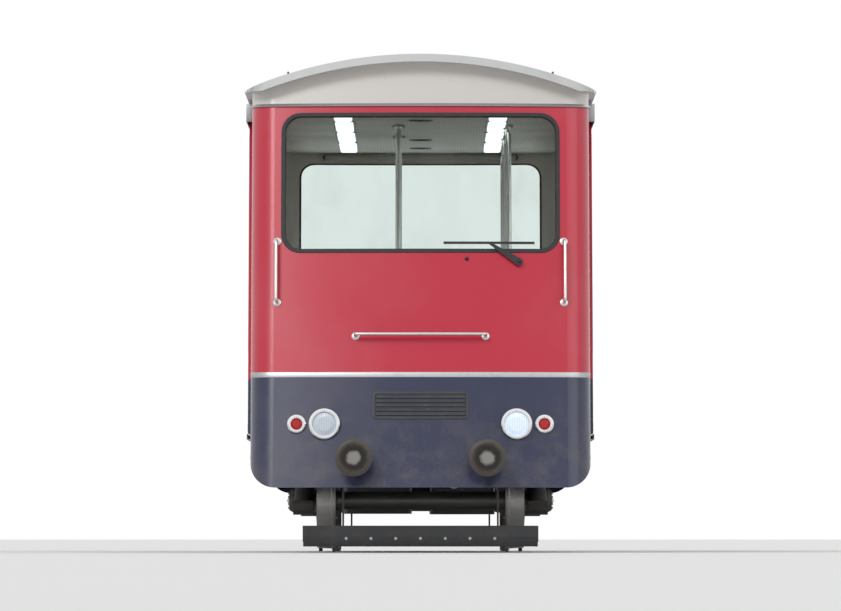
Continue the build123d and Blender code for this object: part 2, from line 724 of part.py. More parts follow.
# Sliding doors: two leaves to a doorway, each hung outside the wall from two rollers on a bar
roller_z = RAIL_BAR_BOTTOM + RAIL_BAR[1] + ROLLER_CLEARANCE + ROLLER_RADIUS
half_run = DOORWAY + LEAF_LAP + TRACK_MARGIN
for side, sign in BOTH_SIDES.items():
    hanger_x = sign * (LEAF_INNER + LEAF / 2 - HANGER[0] / 2)
    roller_x = sign * (HALF_WIDTH + ROLLER_WIDTH / 2)
    for doorway, terrace in zip(("lower", "upper"), DOOR_TERRACES):
        middle = station(terrace) + TERRACE_PITCH / 2
        for leaf_name, way in BOTH_ENDS.items():
            near = middle + way * LEAF_SPLIT / 2
            far = middle + way * (DOORWAY / 2 + LEAF_LAP)
            low, high = sorted((near, far))
            glass_low, glass_high = low + LEAF_BORDER, high - LEAF_BORDER
            name = f"{side}_{doorway}_door_{leaf_name}"
            with BuildPart() as leaf:
                with BuildSketch(Plane.YZ.offset(sign * LEAF_INNER)):
                    add(plumb_panel(low, high, LEAF_BOTTOM, LEAF_TOP))
                    add(
                        plumb_panel(glass_low, glass_high, LEAF_GLASS_BOTTOM, LEAF_GLASS_TOP, WINDOW_CORNER),
                        mode=Mode.SUBTRACT,
                    )
                extrude(amount=sign * LEAF)
                with BuildSketch(Plane.YZ.offset(sign * LEAF_OUTER)):
                    recess_bottom = LEAF_BOTTOM + LEAF_BORDER
                    recess_top = LEAF_GLASS_BOTTOM - LEAF_BORDER
                    add(plumb_panel(glass_low, glass_high, recess_bottom, recess_top, LEAF_RECESS_CORNER))
                extrude(amount=-sign * LEAF_RECESS, mode=Mode.SUBTRACT)
                for along in (low + LEAF_BORDER, high - LEAF_BORDER):
                    y = along + lean(LEAF_TOP)
                    with BuildSketch(Plane.YZ.offset(hanger_x)):
                        with Locations((y, (LEAF_TOP - LEAF / 2 + roller_z) / 2)):
                            Rectangle(HANGER[1], roller_z - LEAF_TOP + LEAF / 2)
                        with Locations((y, roller_z)):
                            Circle(HANGER_CROWN)
                    extrude(amount=sign * HANGER[0])
                    with BuildSketch(Plane.YZ.offset(roller_x)):
                        with Locations((y, roller_z)):
                            Circle(ROLLER_RADIUS)
                    extrude(amount=sign * ROLLER_WIDTH)
                    with BuildSketch(Plane.YZ.offset(roller_x)):
                        with Locations((y, roller_z)):
                            Circle(ROLLER_RADIUS / 2)
                    extrude(amount=hanger_x - roller_x)
                    foot = along + lean(LEAF_BOTTOM)
                    with BuildSketch(Plane.YZ.offset(sign * (LEAF_INNER + LEAF / 2) - GUIDE_BLADE[0] / 2)):
                        with Locations((foot, (LEAF_BOTTOM + LEAF / 2 + GUIDE_BLADE_Z) / 2)):
                            Rectangle(GUIDE_BLADE[1], LEAF_BOTTOM + LEAF / 2 - GUIDE_BLADE_Z)
                    extrude(amount=GUIDE_BLADE[0])
            save(leaf, name)

            with BuildPart() as pane:
                with BuildSketch(Plane.YZ.offset(sign * (LEAF_OUTER - LEAF / 2 - GLASS / 2))):
                    add(plumb_panel(glass_low, glass_high, LEAF_GLASS_BOTTOM, LEAF_GLASS_TOP, WINDOW_CORNER))
                extrude(amount=sign * GLASS)
            save(pane, f"{name}_glass")

    # Housing with its running bar over each doorway, and the guide channel under it
    inner, outer = HALF_WIDTH, LEAF_OUTER + TRACK_CLEARANCE
    centre = LEAF_INNER + LEAF / 2
    inner_lip = centre - LEAF / 2 + GUIDE_WALL
    outer_lip = centre + LEAF / 2 - GUIDE_WALL
    with BuildPart() as door_tracks:
        for terrace in DOOR_TERRACES:
            middle = station(terrace) + TERRACE_PITCH / 2
            with BuildSketch(Plane.XZ.offset(half_run - middle - lean(TRACK_TOP))):
                with BuildLine():
                    Polyline(
                        (sign * inner, RAIL_BAR_BOTTOM),
                        (sign * inner, TRACK_TOP),
                        (sign * (outer + TRACK_SHEET), TRACK_TOP),
                        (sign * (outer + TRACK_SHEET), TRACK_SKIRT),
                        (sign * outer, TRACK_SKIRT),
                        (sign * outer, TRACK_TOP - TRACK_SHEET),
                        (sign * (inner + TRACK_SHEET), TRACK_TOP - TRACK_SHEET),
                        (sign * (inner + TRACK_SHEET), RAIL_BAR_BOTTOM + RAIL_BAR[1]),
                        (sign * (inner + RAIL_BAR[0]), RAIL_BAR_BOTTOM + RAIL_BAR[1]),
                        (sign * (inner + RAIL_BAR[0]), RAIL_BAR_BOTTOM),
                        close=True,
                    )
                make_face()
            extrude(amount=-2 * half_run)
            with BuildSketch(Plane.XZ.offset(half_run - middle - lean(GUIDE_BASE_Z))):
                with BuildLine():
                    Polyline(
                        (sign * HALF_WIDTH, GUIDE_BASE_Z),
                        (sign * outer_lip, GUIDE_BASE_Z),
                        (sign * outer_lip, GUIDE_LIP_Z),
                        (sign * (outer_lip - GUIDE_WALL), GUIDE_LIP_Z),
                        (sign * (outer_lip - GUIDE_WALL), GUIDE_BASE_Z + GUIDE_WALL),
                        (sign * (inner_lip + GUIDE_WALL), GUIDE_BASE_Z + GUIDE_WALL),
                        (sign * (inner_lip + GUIDE_WALL), GUIDE_LIP_Z),
                        (sign * inner_lip, GUIDE_LIP_Z),
                        (sign * inner_lip, GUIDE_BASE_Z + GUIDE_WALL),
                        (sign * HALF_WIDTH, GUIDE_BASE_Z + GUIDE_WALL),
                        close=True,
                    )
                make_face()
            extrude(amount=-2 * half_run)
    save(door_tracks, f"door_tracks_{side}")

# Wheelsets: a turned axle with two pressed-on wheels, each flange on the inner side of its rail
for end_name, end in BOTH_ENDS.items():
    axle_plane = Plane(origin=(0, end * WHEELBASE / 2, AXLE_Z), x_dir=(1, 0, 0), z_dir=(0, -1, 0))
    axle_axis = Axis((0, end * WHEELBASE / 2, AXLE_Z), (1, 0, 0))
    inner, outer = WHEEL_INNER, WHEEL_INNER + WHEEL_WIDTH
    with BuildPart() as axle:
        with BuildSketch(axle_plane):
            with BuildLine():
                Polyline(
                    (0, 0),
                    (AXLE_END, 0),
                    (AXLE_END, JOURNAL_RADIUS),
                    (outer + SEAT_MARGIN, JOURNAL_RADIUS),
                    (outer + SEAT_MARGIN, SEAT_RADIUS),
                    (inner - SEAT_MARGIN, SEAT_RADIUS),
                    (inner - SEAT_MARGIN - SEAT_TAPER, AXLE_RADIUS),
                    (0, AXLE_RADIUS),
                    close=True,
                )
            make_face()
            mirror(about=Plane.YZ)
        revolve(axis=axle_axis)
    save(axle, f"axle_{end_name}")

    rim = TREAD_RADIUS - RIM_DEPTH
    hub_web = (inner + outer) / 2 - WEB_OFFSET
    rim_web = (inner + outer) / 2 + WEB_OFFSET
    flange_top = TREAD_RADIUS + FLANGE_DEPTH
    flange_back = inner + FLANGE_THICKNESS
    with BuildPart() as wheels:
        with BuildSketch(axle_plane):
            with BuildLine():
                Polyline(
                    (inner, SEAT_RADIUS),
                    (outer, SEAT_RADIUS),
                    (outer, HUB_RADIUS),
                    (hub_web + WHEEL_WEB / 2, HUB_RADIUS + HUB_BEVEL),
                    (rim_web + WHEEL_WEB / 2, rim - RIM_BEVEL),
                    (outer, rim),
                    (outer, TREAD_RADIUS - (outer - flange_back) * TREAD_TAPER),
                    (flange_back, TREAD_RADIUS),
                    (flange_back - FLANGE_SLOPE, flange_top),
                    (inner + FLANGE_SLOPE, flange_top),
                    (inner, flange_top - FLANGE_SLOPE),
                    (inner, rim),
                    (rim_web - WHEEL_WEB / 2, rim - RIM_BEVEL),
                    (hub_web - WHEEL_WEB / 2, HUB_RADIUS + HUB_BEVEL),
                    (inner, HUB_RADIUS),
                    close=True,
                )
            make_face()
            mirror(about=Plane.YZ)
        revolve(axis=axle_axis)
    save(wheels, f"wheels_{end_name}")

# Axle boxes with a tapered wing each side, and the ringed rubber springs that stand on the wings
with BuildPart() as axle_boxes:
    wing_root = AXLE_Z - AXLE_BOX / 2 + WING_ROOT
    for end in BOTH_ENDS.values():
        for sign in BOTH_SIDES.values():
            y = end * WHEELBASE / 2
            with BuildSketch(Plane.YZ.offset(sign * AXLE_BOX_INNER)):
                with BuildLine():
                    Polyline(
                        (y - WING_REACH, WING_TOP),
                        (y + WING_REACH, WING_TOP),
                        (y + WING_REACH, WING_TOP - WING_THICKNESS),
                        (y + AXLE_BOX / 2, wing_root),
                        (y - AXLE_BOX / 2, wing_root),
                        (y - WING_REACH, WING_TOP - WING_THICKNESS),
                        close=True,
                    )
                make_face()
                with Locations((y, AXLE_Z)):
                    RectangleRounded(AXLE_BOX, AXLE_BOX, AXLE_BOX_CORNER)
                    Circle(JOURNAL_RADIUS + JOURNAL_CLEARANCE, mode=Mode.SUBTRACT)
            extrude(amount=sign * (AXLE_END + END_PLAY - AXLE_BOX_INNER))
            with BuildSketch(Plane.YZ.offset(sign * (AXLE_END + END_PLAY))):
                with Locations((y, AXLE_Z)):
                    Circle(AXLE_BOX / 2 - COVER_MARGIN)
            extrude(amount=sign * COVER_DEPTH, taper=COVER_TAPER)
save(axle_boxes, "axle_boxes")

spring_rise = SOLE_BAR_BOTTOM - WING_TOP
ring_rise = spring_rise / SPRING_RINGS
spring_line = [(0, 0)]
for ring in range(SPRING_RINGS):
    foot = ring * ring_rise
    shrink = (SPRING_RADIUS - SPRING_TOP_RADIUS) / SPRING_RINGS
    low_radius, high_radius = SPRING_RADIUS - ring * shrink, SPRING_RADIUS - (ring + 1) * shrink
    plate_reach, plate_depth = SPRING_PLATE
    spring_line += [
        (low_radius, foot),
        (high_radius, foot + ring_rise - plate_depth),
        (high_radius + plate_reach, foot + ring_rise - plate_depth),
        (high_radius + plate_reach, foot + ring_rise),
    ]
spring_line.append((0, spring_rise))
with BuildPart() as axle_springs:
    for end in BOTH_ENDS.values():
        for sign in BOTH_SIDES.values():
            for way in BOTH_ENDS.values():
                place = (sign * SPRING_X, end * WHEELBASE / 2 + way * (WING_REACH - SPRING_RADIUS), WING_TOP)
                with BuildSketch(Plane(origin=place, x_dir=(1, 0, 0), z_dir=(0, -1, 0))):
                    with BuildLine():
                        Polyline(*spring_line, close=True)
                    make_face()
                revolve(axis=Axis(place, (0, 0, 1)))
save(axle_springs, "axle_springs")

# Underframe: two channel sole bars open outwards, a headstock at each end and a beam for the rope's pull
with BuildPart() as underframe:
    with BuildSketch(Plane.XZ.offset(-frame_low)):
        for sign in BOTH_SIDES.values():
            with Locations((sign * SOLE_BAR_CENTRE, SOLE_BAR_MIDDLE)):
                Rectangle(SOLE_BAR_WIDTH, SOLE_BAR_DEPTH)
            with Locations((sign * (SOLE_BAR_CENTRE + SOLE_BAR_WALL), SOLE_BAR_MIDDLE)):
                Rectangle(SOLE_BAR_WIDTH, SOLE_BAR_DEPTH - 2 * SOLE_BAR_WALL, mode=Mode.SUBTRACT)
    extrude(amount=-(frame_high - frame_low))
    for y in (frame_low + HEADSTOCK / 2, frame_high - HEADSTOCK / 2):
        with Locations((0, y, SOLE_BAR_MIDDLE)):
            Box(2 * (SOLE_BAR_X + SOLE_BAR_WIDTH), HEADSTOCK, SOLE_BAR_DEPTH)
    beam_start = CROSS_BEARERS[-1] + BEARER_FLANGE / 2
    with Locations((ROPE_X, (beam_start + frame_high) / 2, SOLE_BAR_MIDDLE)):
        Box(DRAFT_BEAM, frame_high - beam_start, SOLE_BAR_DEPTH)
save(underframe, "underframe")

# Cross bearers of I section with slots in the web, and tapered outriggers that carry the side panels
with BuildPart() as cross_bearers:
    for y in CROSS_BEARERS:
        with BuildSketch(Plane.YZ.offset(-SOLE_BAR_X)):
            for z in (SOLE_BAR_BOTTOM + BEARER_WALL / 2, SOLE_BAR_TOP - BEARER_WALL / 2):
                with Locations((y, z)):
                    Rectangle(BEARER_FLANGE, BEARER_WALL)
            with Locations((y, SOLE_BAR_MIDDLE)):
                Rectangle(BEARER_WALL, SOLE_BAR_DEPTH)
        extrude(amount=2 * SOLE_BAR_X)
        with BuildSketch(Plane.XZ.offset(-y)):
            with Locations((-BEARER_HOLE_X, SOLE_BAR_MIDDLE), (BEARER_HOLE_X, SOLE_BAR_MIDDLE)):
                SlotOverall(*BEARER_HOLE)
        extrude(amount=BEARER_WALL, both=True, mode=Mode.SUBTRACT)
        web_face = SOLE_BAR_X + SOLE_BAR_WALL
        for sign in BOTH_SIDES.values():
            with BuildSketch(Plane.XZ.offset(-y)):
                with BuildLine():
                    Polyline(
                        (sign * web_face, SOLE_BAR_TOP - SOLE_BAR_WALL),
                        (sign * web_face, SOLE_BAR_BOTTOM + SOLE_BAR_WALL),
                        (sign * INNER_HALF, SOLE_BAR_TOP - OUTRIGGER_TIP),
                        (sign * INNER_HALF, SOLE_BAR_TOP),
                        (sign * (SOLE_BAR_X + SOLE_BAR_WIDTH), SOLE_BAR_TOP),
                        (sign * (SOLE_BAR_X + SOLE_BAR_WIDTH), SOLE_BAR_TOP - SOLE_BAR_WALL),
                        close=True,
                    )
                make_face()
            extrude(amount=BEARER_WALL / 2, both=True)
            flange_middle = (SOLE_BAR_X + SOLE_BAR_WIDTH + INNER_HALF) / 2
            with Locations((sign * flange_middle, y, SOLE_BAR_TOP - BEARER_WALL / 2)):
                Box(INNER_HALF - SOLE_BAR_X - SOLE_BAR_WIDTH, BEARER_FLANGE, BEARER_WALL)
save(cross_bearers, "cross_bearers")

# Buffers on the headstocks, their heads as far out downhill as the roof reaches uphill
roof_tip = (LEVEL_LENGTH / 2 + NOSE_BOW + ROOF_END_OVERHANG) / COS + lean(CROWN)
buffer_ends = ((-1, frame_low, -roof_tip), (1, frame_high, nose_face(1, 0, BUFFER_Z) + BUFFER_REACH))
head_radius, head_depth = BUFFER_HEAD
with BuildPart() as buffers:
    for end, base, face in buffer_ends:
        reach = abs(face - base)
        head = reach - BUFFER_CHAMFER[1]
        cone = head - head_depth
        case = cone - BUFFER_HEAD_CONE - BUFFER_STROKE
        for sign in BOTH_SIDES.values():
            with BuildSketch(Plane(origin=(sign * BUFFER_X, base, BUFFER_Z), x_dir=(1, 0, 0), z_dir=(0, 0, 1))):
                with BuildLine():
                    Polyline(
                        (0, 0),
                        (BUFFER_CASE, 0),
                        (BUFFER_CASE, end * (case - BUFFER_CASE_LIP[1])),
                        (BUFFER_CASE_LIP[0], end * (case - BUFFER_CASE_LIP[1])),
                        (BUFFER_CASE_LIP[0], end * case),
                        (BUFFER_PLUNGER, end * case),
                        (BUFFER_PLUNGER, end * (cone - BUFFER_HEAD_CONE)),
                        (head_radius, end * cone),
                        (head_radius, end * head),
                        (head_radius - BUFFER_CHAMFER[0], end * reach),
                        (0, end * reach),
                        close=True,
                    )
                make_face()
            revolve(axis=Axis((sign * BUFFER_X, base, BUFFER_Z), (0, 1, 0)))
save(buffers, "buffers")

# Headlamps and tail lamps sunk in the aprons: a cup with a curved reflector, and a domed lens in its mouth
with BuildPart() as lamp_housings:
    for end in BOTH_ENDS.values():
        for sign in BOTH_SIDES.values():
            for lamp in (HEADLAMP, TAIL_LAMP):
                place = lamp_plane(end, sign, lamp)
                _, radius, depth = lamp
                mouth = radius - LAMP_RIM
                floor_y = -end * (depth - LAMP_BACK)
                seat_y = -end * LENS_SEAT
                with BuildSketch(place):
                    with BuildLine():
                        Polyline(
                            (mouth, seat_y),
                            (mouth, 0),
                            (radius, 0),
                            (radius, -end * depth),
                            (0, -end * depth),
                            (0, floor_y),
                            (LAMP_BULB, floor_y),
                        )
                        bowl = (LAMP_BOWL * mouth, (floor_y + seat_y) / 2)
                        ThreePointArc((LAMP_BULB, floor_y), bowl, (mouth, seat_y))
                    make_face()
                revolve(axis=Axis(place.origin, (0, 1, 0)))
save(lamp_housings, "lamp_housings")

with BuildPart() as lamp_lenses:
    for end in BOTH_ENDS.values():
        for sign in BOTH_SIDES.values():
            for lamp in (HEADLAMP, TAIL_LAMP):
                place = lamp_plane(end, sign, lamp)
                edge = lamp[1] - LAMP_RIM - LENS_PLAY
                with BuildSketch(place):
                    with BuildLine():
                        Polyline(
                            (0, -end * LENS_SEAT),
                            (edge, -end * LENS_SEAT),
                            (edge, -end * LENS_SEAT / 2),
                            (LENS_FLAT * edge, end * LENS_SEAT / 2),
                            (0, end * LENS_SEAT / 2),
                            close=True,
                        )
                    make_face()
                revolve(axis=Axis(place.origin, (0, 1, 0)))
save(lamp_lenses, "lamp_lenses")

# Guard ploughs ahead of the wheels, bent plates on braced stays under the headstocks
with BuildPart() as guard_ploughs:
    for end, base in ((-1, frame_low), (1, frame_high)):
        front = base - end * PLOUGH_SETBACK
        back = front - end * PLOUGH_SWEEP
        with BuildSketch(Plane.XY.offset(PLOUGH_BOTTOM)):
            with BuildLine() as plough_line:
                FilletPolyline(
                    (-PLOUGH_HALF, back),
                    (-PLOUGH_FLAT, front),
                    (PLOUGH_FLAT, front),
                    (PLOUGH_HALF, back),
                    radius=PLOUGH_BEND,
                )
            trace(plough_line.wires(), PLOUGH_PLATE)
        extrude(amount=PLOUGH_TOP - PLOUGH_BOTTOM)
        for sign in BOTH_SIDES.values():
            with BuildSketch(Plane.YZ.offset(sign * PLOUGH_STAY_X - PLOUGH_PLATE / 2)):
                with BuildLine():
                    Polyline(
                        (front, PLOUGH_BOTTOM + PLOUGH_STAY_FOOT),
                        (front, SOLE_BAR_BOTTOM),
                        (front - end * PLOUGH_STAY_HEAD, SOLE_BAR_BOTTOM),
                        (front - end * PLOUGH_STAY_FOOT, PLOUGH_BOTTOM + PLOUGH_STAY_FOOT),
                        close=True,
                    )
                make_face()
            extrude(amount=PLOUGH_PLATE)
save(guard_ploughs, "guard_ploughs")

# Caliper track brakes under the middle cross bearer: levers on pins between two plates, with shoes beside
# the rail head
with BuildPart() as track_brakes:
    shoe_width, shoe_length, shoe_height = SHOE
    for side_sign in BOTH_SIDES.values():
        rail_x = side_sign * (GAUGE + RAIL_HEAD) / 2
        with BuildSketch(Plane.XZ.offset(-LEVER_LENGTH / 2 - BRAKE_PLATE)):
            with Locations((rail_x, SOLE_BAR_BOTTOM - BRAKE_PLATE / 2)):
                Rectangle(BRAKE_PLATE_WIDTH, BRAKE_PLATE)
            for way in BOTH_SIDES.values():
                with Locations((rail_x + way * LEVER_PIVOT[0], LEVER_PIVOT[1])):
                    Circle(LEVER_PIVOT[2])
            make_hull()
        extrude(amount=LEVER_LENGTH + 2 * BRAKE_PLATE)
        with BuildSketch(Plane.XZ.offset(-LEVER_LENGTH / 2)):
            with Locations((rail_x, (LEVER_FOOT[1] + SOLE_BAR_BOTTOM - BRAKE_PLATE) / 2)):
                Rectangle(2 * BRAKE_PLATE_WIDTH, SOLE_BAR_BOTTOM - BRAKE_PLATE - LEVER_FOOT[1])
        extrude(amount=LEVER_LENGTH, mode=Mode.SUBTRACT)
        for way in BOTH_SIDES.values():
            for lower, upper in ((LEVER_FOOT, LEVER_PIVOT), (LEVER_PIVOT, LEVER_TOP)):
                with BuildSketch(Plane.XZ.offset(-LEVER_LENGTH / 2 + SHOE_LIFT)):
                    for offset, z, radius in (lower, upper):
                        with Locations((rail_x + way * offset, z)):
                            Circle(radius)
                    make_hull()
                extrude(amount=LEVER_LENGTH - 2 * SHOE_LIFT)
            with BuildSketch(Plane.XZ.offset(-LEVER_LENGTH / 2 - BRAKE_PLATE - BRAKE_PIN / 2)):
                with Locations((rail_x + way * LEVER_PIVOT[0], LEVER_PIVOT[1])):
                    Circle(BRAKE_PIN)
            extrude(amount=LEVER_LENGTH + 2 * BRAKE_PLATE + BRAKE_PIN)
            shoe_face = rail_x + way * (RAIL_HEAD / 2 + SHOE_GAP)
            shoe_back = shoe_face + way * shoe_width
            with BuildSketch(Plane.XY.offset(SHOE_LIFT)):
                with BuildLine():
                    Polyline(
                        (shoe_face, SHOE_NOSE - shoe_length / 2),
                        (shoe_face, shoe_length / 2 - SHOE_NOSE),
                        (shoe_back - way * shoe_width / 3, shoe_length / 2),
                        (shoe_back, shoe_length / 2),
                        (shoe_back, -shoe_length / 2),
                        (shoe_back - way * shoe_width / 3, -shoe_length / 2),
                        close=True,
                    )
                make_face()
            extrude(amount=shoe_height)
        with BuildSketch(Plane.YZ.offset(rail_x - LEVER_TOP[0])):
            with Locations((0, LEVER_TOP[1])):
                Circle(BRAKE_ROD)
        extrude(amount=2 * LEVER_TOP[0])
        with BuildSketch(Plane.YZ.offset(rail_x - LEVER_TOP[0] + LEVER_TOP[2])):
            with Locations((0, LEVER_TOP[1])):
                Circle(BRAKE_CYLINDER)
        extrude(amount=2 * (LEVER_TOP[0] - LEVER_TOP[2]))
save(track_brakes, "track_brakes")

# Rope bracket under the draft beam, and the socket pinned in it
pin_y = frame_high - PIN_SETBACK
with BuildPart() as rope_bracket:
    base_length, base_depth = CHEEK_BASE
    for way in BOTH_SIDES.values():
        with BuildSketch(Plane.YZ.offset(ROPE_X + way * (CHEEK_GAP + CHEEK) / 2 - CHEEK / 2)):
            with Locations((frame_high - base_length / 2, SOLE_BAR_BOTTOM - base_depth / 2)):
                Rectangle(base_length, base_depth)
            with Locations((pin_y, ROPE_Z)):
                Circle(CHEEK_EYE)
            make_hull()
            with Locations((pin_y, ROPE_Z)):
                Circle(ROPE_PIN + PIN_PLAY, mode=Mode.SUBTRACT)
        extrude(amount=CHEEK)
    with Locations((ROPE_X, frame_high - base_length / 2, SOLE_BAR_BOTTOM - base_depth / 2)):
        Box(DRAFT_BEAM, base_length, base_depth)
save(rope_bracket, "rope_bracket")

with BuildPart() as rope_socket:
    neck, neck_depth = TANG_NECK
    with BuildSketch(Plane.YZ.offset(ROPE_X - TANG / 2)):
        with Locations((pin_y, ROPE_Z)):
            Circle(TANG_EYE)
        with Locations((pin_y + neck - neck_depth / 4, ROPE_Z)):
            Rectangle(neck_depth / 2, neck_depth)
        make_hull()
    extrude(amount=TANG)
    with BuildSketch(Plane.YZ.offset(ROPE_X - CHEEK_GAP / 2 - CHEEK - ROPE_PIN / 2)):
        with Locations((pin_y, ROPE_Z)):
            Circle(ROPE_PIN)
    extrude(amount=CHEEK_GAP + 2 * CHEEK + ROPE_PIN)
    socket_origin = (ROPE_X, pin_y + neck, ROPE_Z)
    with BuildSketch(Plane(origin=socket_origin, x_dir=(1, 0, 0), z_dir=(0, 0, 1))):
        with BuildLine():
            Polyline(
                (0, 0),
                (SOCKET_BASE, 0),
                (SOCKET_BASE, SOCKET_BASE / 2),
                (SOCKET_MOUTH, SOCKET_LENGTH),
                (0, SOCKET_LENGTH),
                close=True,
            )
        make_face()
    revolve(axis=Axis(socket_origin, (0, 1, 0)))
    with BuildSketch(Plane.XZ.offset(-(pin_y + neck + SOCKET_LENGTH))):
        with Locations((ROPE_X, ROPE_Z)):
            Circle(ROPE_RADIUS)
    extrude(amount=ROPE_BORE, mode=Mode.SUBTRACT)
save(rope_socket, "rope_socket")

# Battery box and hydraulic unit, hung under the middle cross bearers
box_middle = BOX_GAP + BOX_LENGTH / 2
box_bottom = SOLE_BAR_BOTTOM - BOX_HEIGHT
with BuildPart() as battery_box:
    with BuildSketch(Plane.XY.offset(box_bottom)):
        with Locations((BOX_X, box_middle)):
            RectangleRounded(BOX_WIDTH - 2 * RIB[0], BOX_LENGTH - 2 * RIB[0], BOX_CORNER)
    extrude(amount=BOX_HEIGHT)
    for rib in range(BOX_RIBS):
        rib_z = box_bottom + (rib + 0.5) * BOX_HEIGHT / BOX_RIBS
        with BuildSketch(Plane.XY.offset(rib_z)):
            with Locations((BOX_X, box_middle)):
                RectangleRounded(BOX_WIDTH, BOX_LENGTH, BOX_CORNER + RIB[0])
        extrude(amount=RIB[1])
save(battery_box, "battery_box")

motor_z = SOLE_BAR_BOTTOM - MOTOR_DROP
motor_start = TANK_LENGTH - box_middle - BOX_LENGTH / 2
motor_length = -BOX_GAP - motor_start
with BuildPart() as hydraulic_unit:
    with BuildSketch(Plane.XY.offset(box_bottom)):
        with Locations((-BOX_X, motor_start - TANK_LENGTH / 2)):
            RectangleRounded(BOX_WIDTH, TANK_LENGTH, BOX_CORNER)
    extrude(amount=BOX_HEIGHT)
    with BuildSketch(Plane.XZ.offset(-motor_start)):
        with Locations((-BOX_X, motor_z)):
            Circle(MOTOR_RADIUS)
    extrude(amount=-motor_length)
    for fin in range(MOTOR_FINS):
        fin_y = motor_start + (fin + 1) * motor_length / (MOTOR_FINS + 1)
        with BuildSketch(Plane.XZ.offset(-fin_y)):
            with Locations((-BOX_X, motor_z)):
                Circle(MOTOR_RADIUS + MOTOR_FIN[0])
        extrude(amount=-MOTOR_FIN[1])
    with Locations((-BOX_X, motor_start + motor_length / 2, (motor_z + SOLE_BAR_BOTTOM) / 2)):
        Box(MOTOR_FOOT, motor_length, MOTOR_DROP)
save(hydraulic_unit, "hydraulic_unit")

# Benches: on the lower terraces they back on to the riser behind, on the top one they face the uphill end
with BuildPart() as seats:
    for terrace, back_station, way in BENCHES:
        for edge, wall in BENCH_SPANS:
            with BuildSketch(terrace_plane(terrace, back_station, edge)):
                with BuildLine() as seat_line:
                    FilletPolyline(
                        (-way * SEAT_DEPTH, SEAT_HEIGHT - SEAT_LIP[1]),
                        (-way * (SEAT_DEPTH - SEAT_LIP[0]), SEAT_HEIGHT),
                        (-way * SEAT_ROOT, SEAT_HEIGHT - SEAT_FALL),
                        (-way * SEAT_REST, SEAT_BACK),
                        radius=SEAT_BEND,
                    )
                trace(seat_line.wires(), SEAT_SHELL)
            extrude(amount=wall - edge)
save(seats, "seats")

with BuildPart() as seat_frames:
    for terrace, back_station, way in BENCHES:
        for edge, wall in BENCH_SPANS:
            toward = math.copysign(1, wall - edge)
            for x in (edge + toward * SEAT_LEG_INSET, wall - toward * SEAT_LEG_INSET):
                with BuildSketch(terrace_plane(terrace, back_station, x)):
                    with BuildLine():
                        Polyline(
                            (-way * LEG_FOOT[0], 0),
                            (-way * LEG_FOOT[1], 0),
                            (-way * LEG_HEAD[1], pan_underside(LEG_HEAD[1])),
                            (-way * LEG_HEAD[0], pan_underside(LEG_HEAD[0])),
                            close=True,
                        )
                    make_face()
                    cuts = [
                        (-way * (LEG_FOOT[0] + LEG_FOOT[1]) / 2, 3 * LEG_CUT),
                        (-way * (LEG_HEAD[0] + LEG_HEAD[1]) / 2, SEAT_HEIGHT - 4 * LEG_CUT),
                    ]
                    with BuildLine() as slot_line:
                        Line(*cuts)
                    trace(slot_line.wires(), 2 * LEG_CUT, mode=Mode.SUBTRACT)
                extrude(amount=toward * SEAT_LEG)
save(seat_frames, "seat_frames")

# Steps in the aisle, half the rise of a terrace each, with a nose over the face
step_ends = (AISLE[0] + STEP_GAP, AISLE[1] - STEP_GAP)
with BuildPart() as aisle_steps:
    rise = TERRACE_PITCH * SIN / 2
    for terrace in range(TERRACES - 1):
        with BuildSketch(terrace_plane(terrace, station(terrace + 1), step_ends[0])):
            with BuildLine():
                Polyline(
                    (0, 0),
                    (0, rise),
                    (-STEP_TREAD, rise),
                    (-STEP_TREAD, rise - 2 * STEP_NOSE),
                    (STEP_NOSE - STEP_TREAD, rise - 2 * STEP_NOSE),
                    (STEP_NOSE - STEP_TREAD, 0),
                    close=True,
                )
            make_face()
        extrude(amount=step_ends[1] - step_ends[0])
save(aisle_steps, "aisle_steps")

# Grab poles plumb from tread to ceiling on the door terraces; the outer two bend over into a hand rail
pole_stations = [
    (terrace, along)
    for terrace in DOOR_TERRACES
    for along in (station(terrace) + POLE_EDGE, station(terrace + 1) - 2 * POLE_EDGE)
]
with BuildPart() as grab_poles:
    for x in AISLE:
        feet = [(along + lean(tread_height(k, along)), tread_height(k, along)) for k, along in pole_stations]
        with BuildLine(Plane.YZ.offset(x)) as bent_line:
            FilletPolyline(
                feet[0],
                (pole_stations[0][1] + lean(HAND_RAIL_Z), HAND_RAIL_Z),
                (pole_stations[-1][1] + lean(HAND_RAIL_Z), HAND_RAIL_Z),
                feet[-1],
                radius=POLE_BEND,
            )
        with BuildSketch(Plane(origin=bent_line.line @ 0, z_dir=bent_line.line % 0)):
            Circle(POLE_RADIUS)
        sweep(path=bent_line.line)
        for y, height in feet[1:-1]:
            with BuildSketch(Plane(origin=(x, y, height), x_dir=(1, 0, 0), z_dir=PLUMB)):
                Circle(POLE_RADIUS)
            extrude(amount=plumb_length(CROWN - height))
    split(bisect_by=Plane.XY.offset(CEILING_BOTTOM), keep=Keep.BOTTOM)
save(grab_poles, "grab_poles")

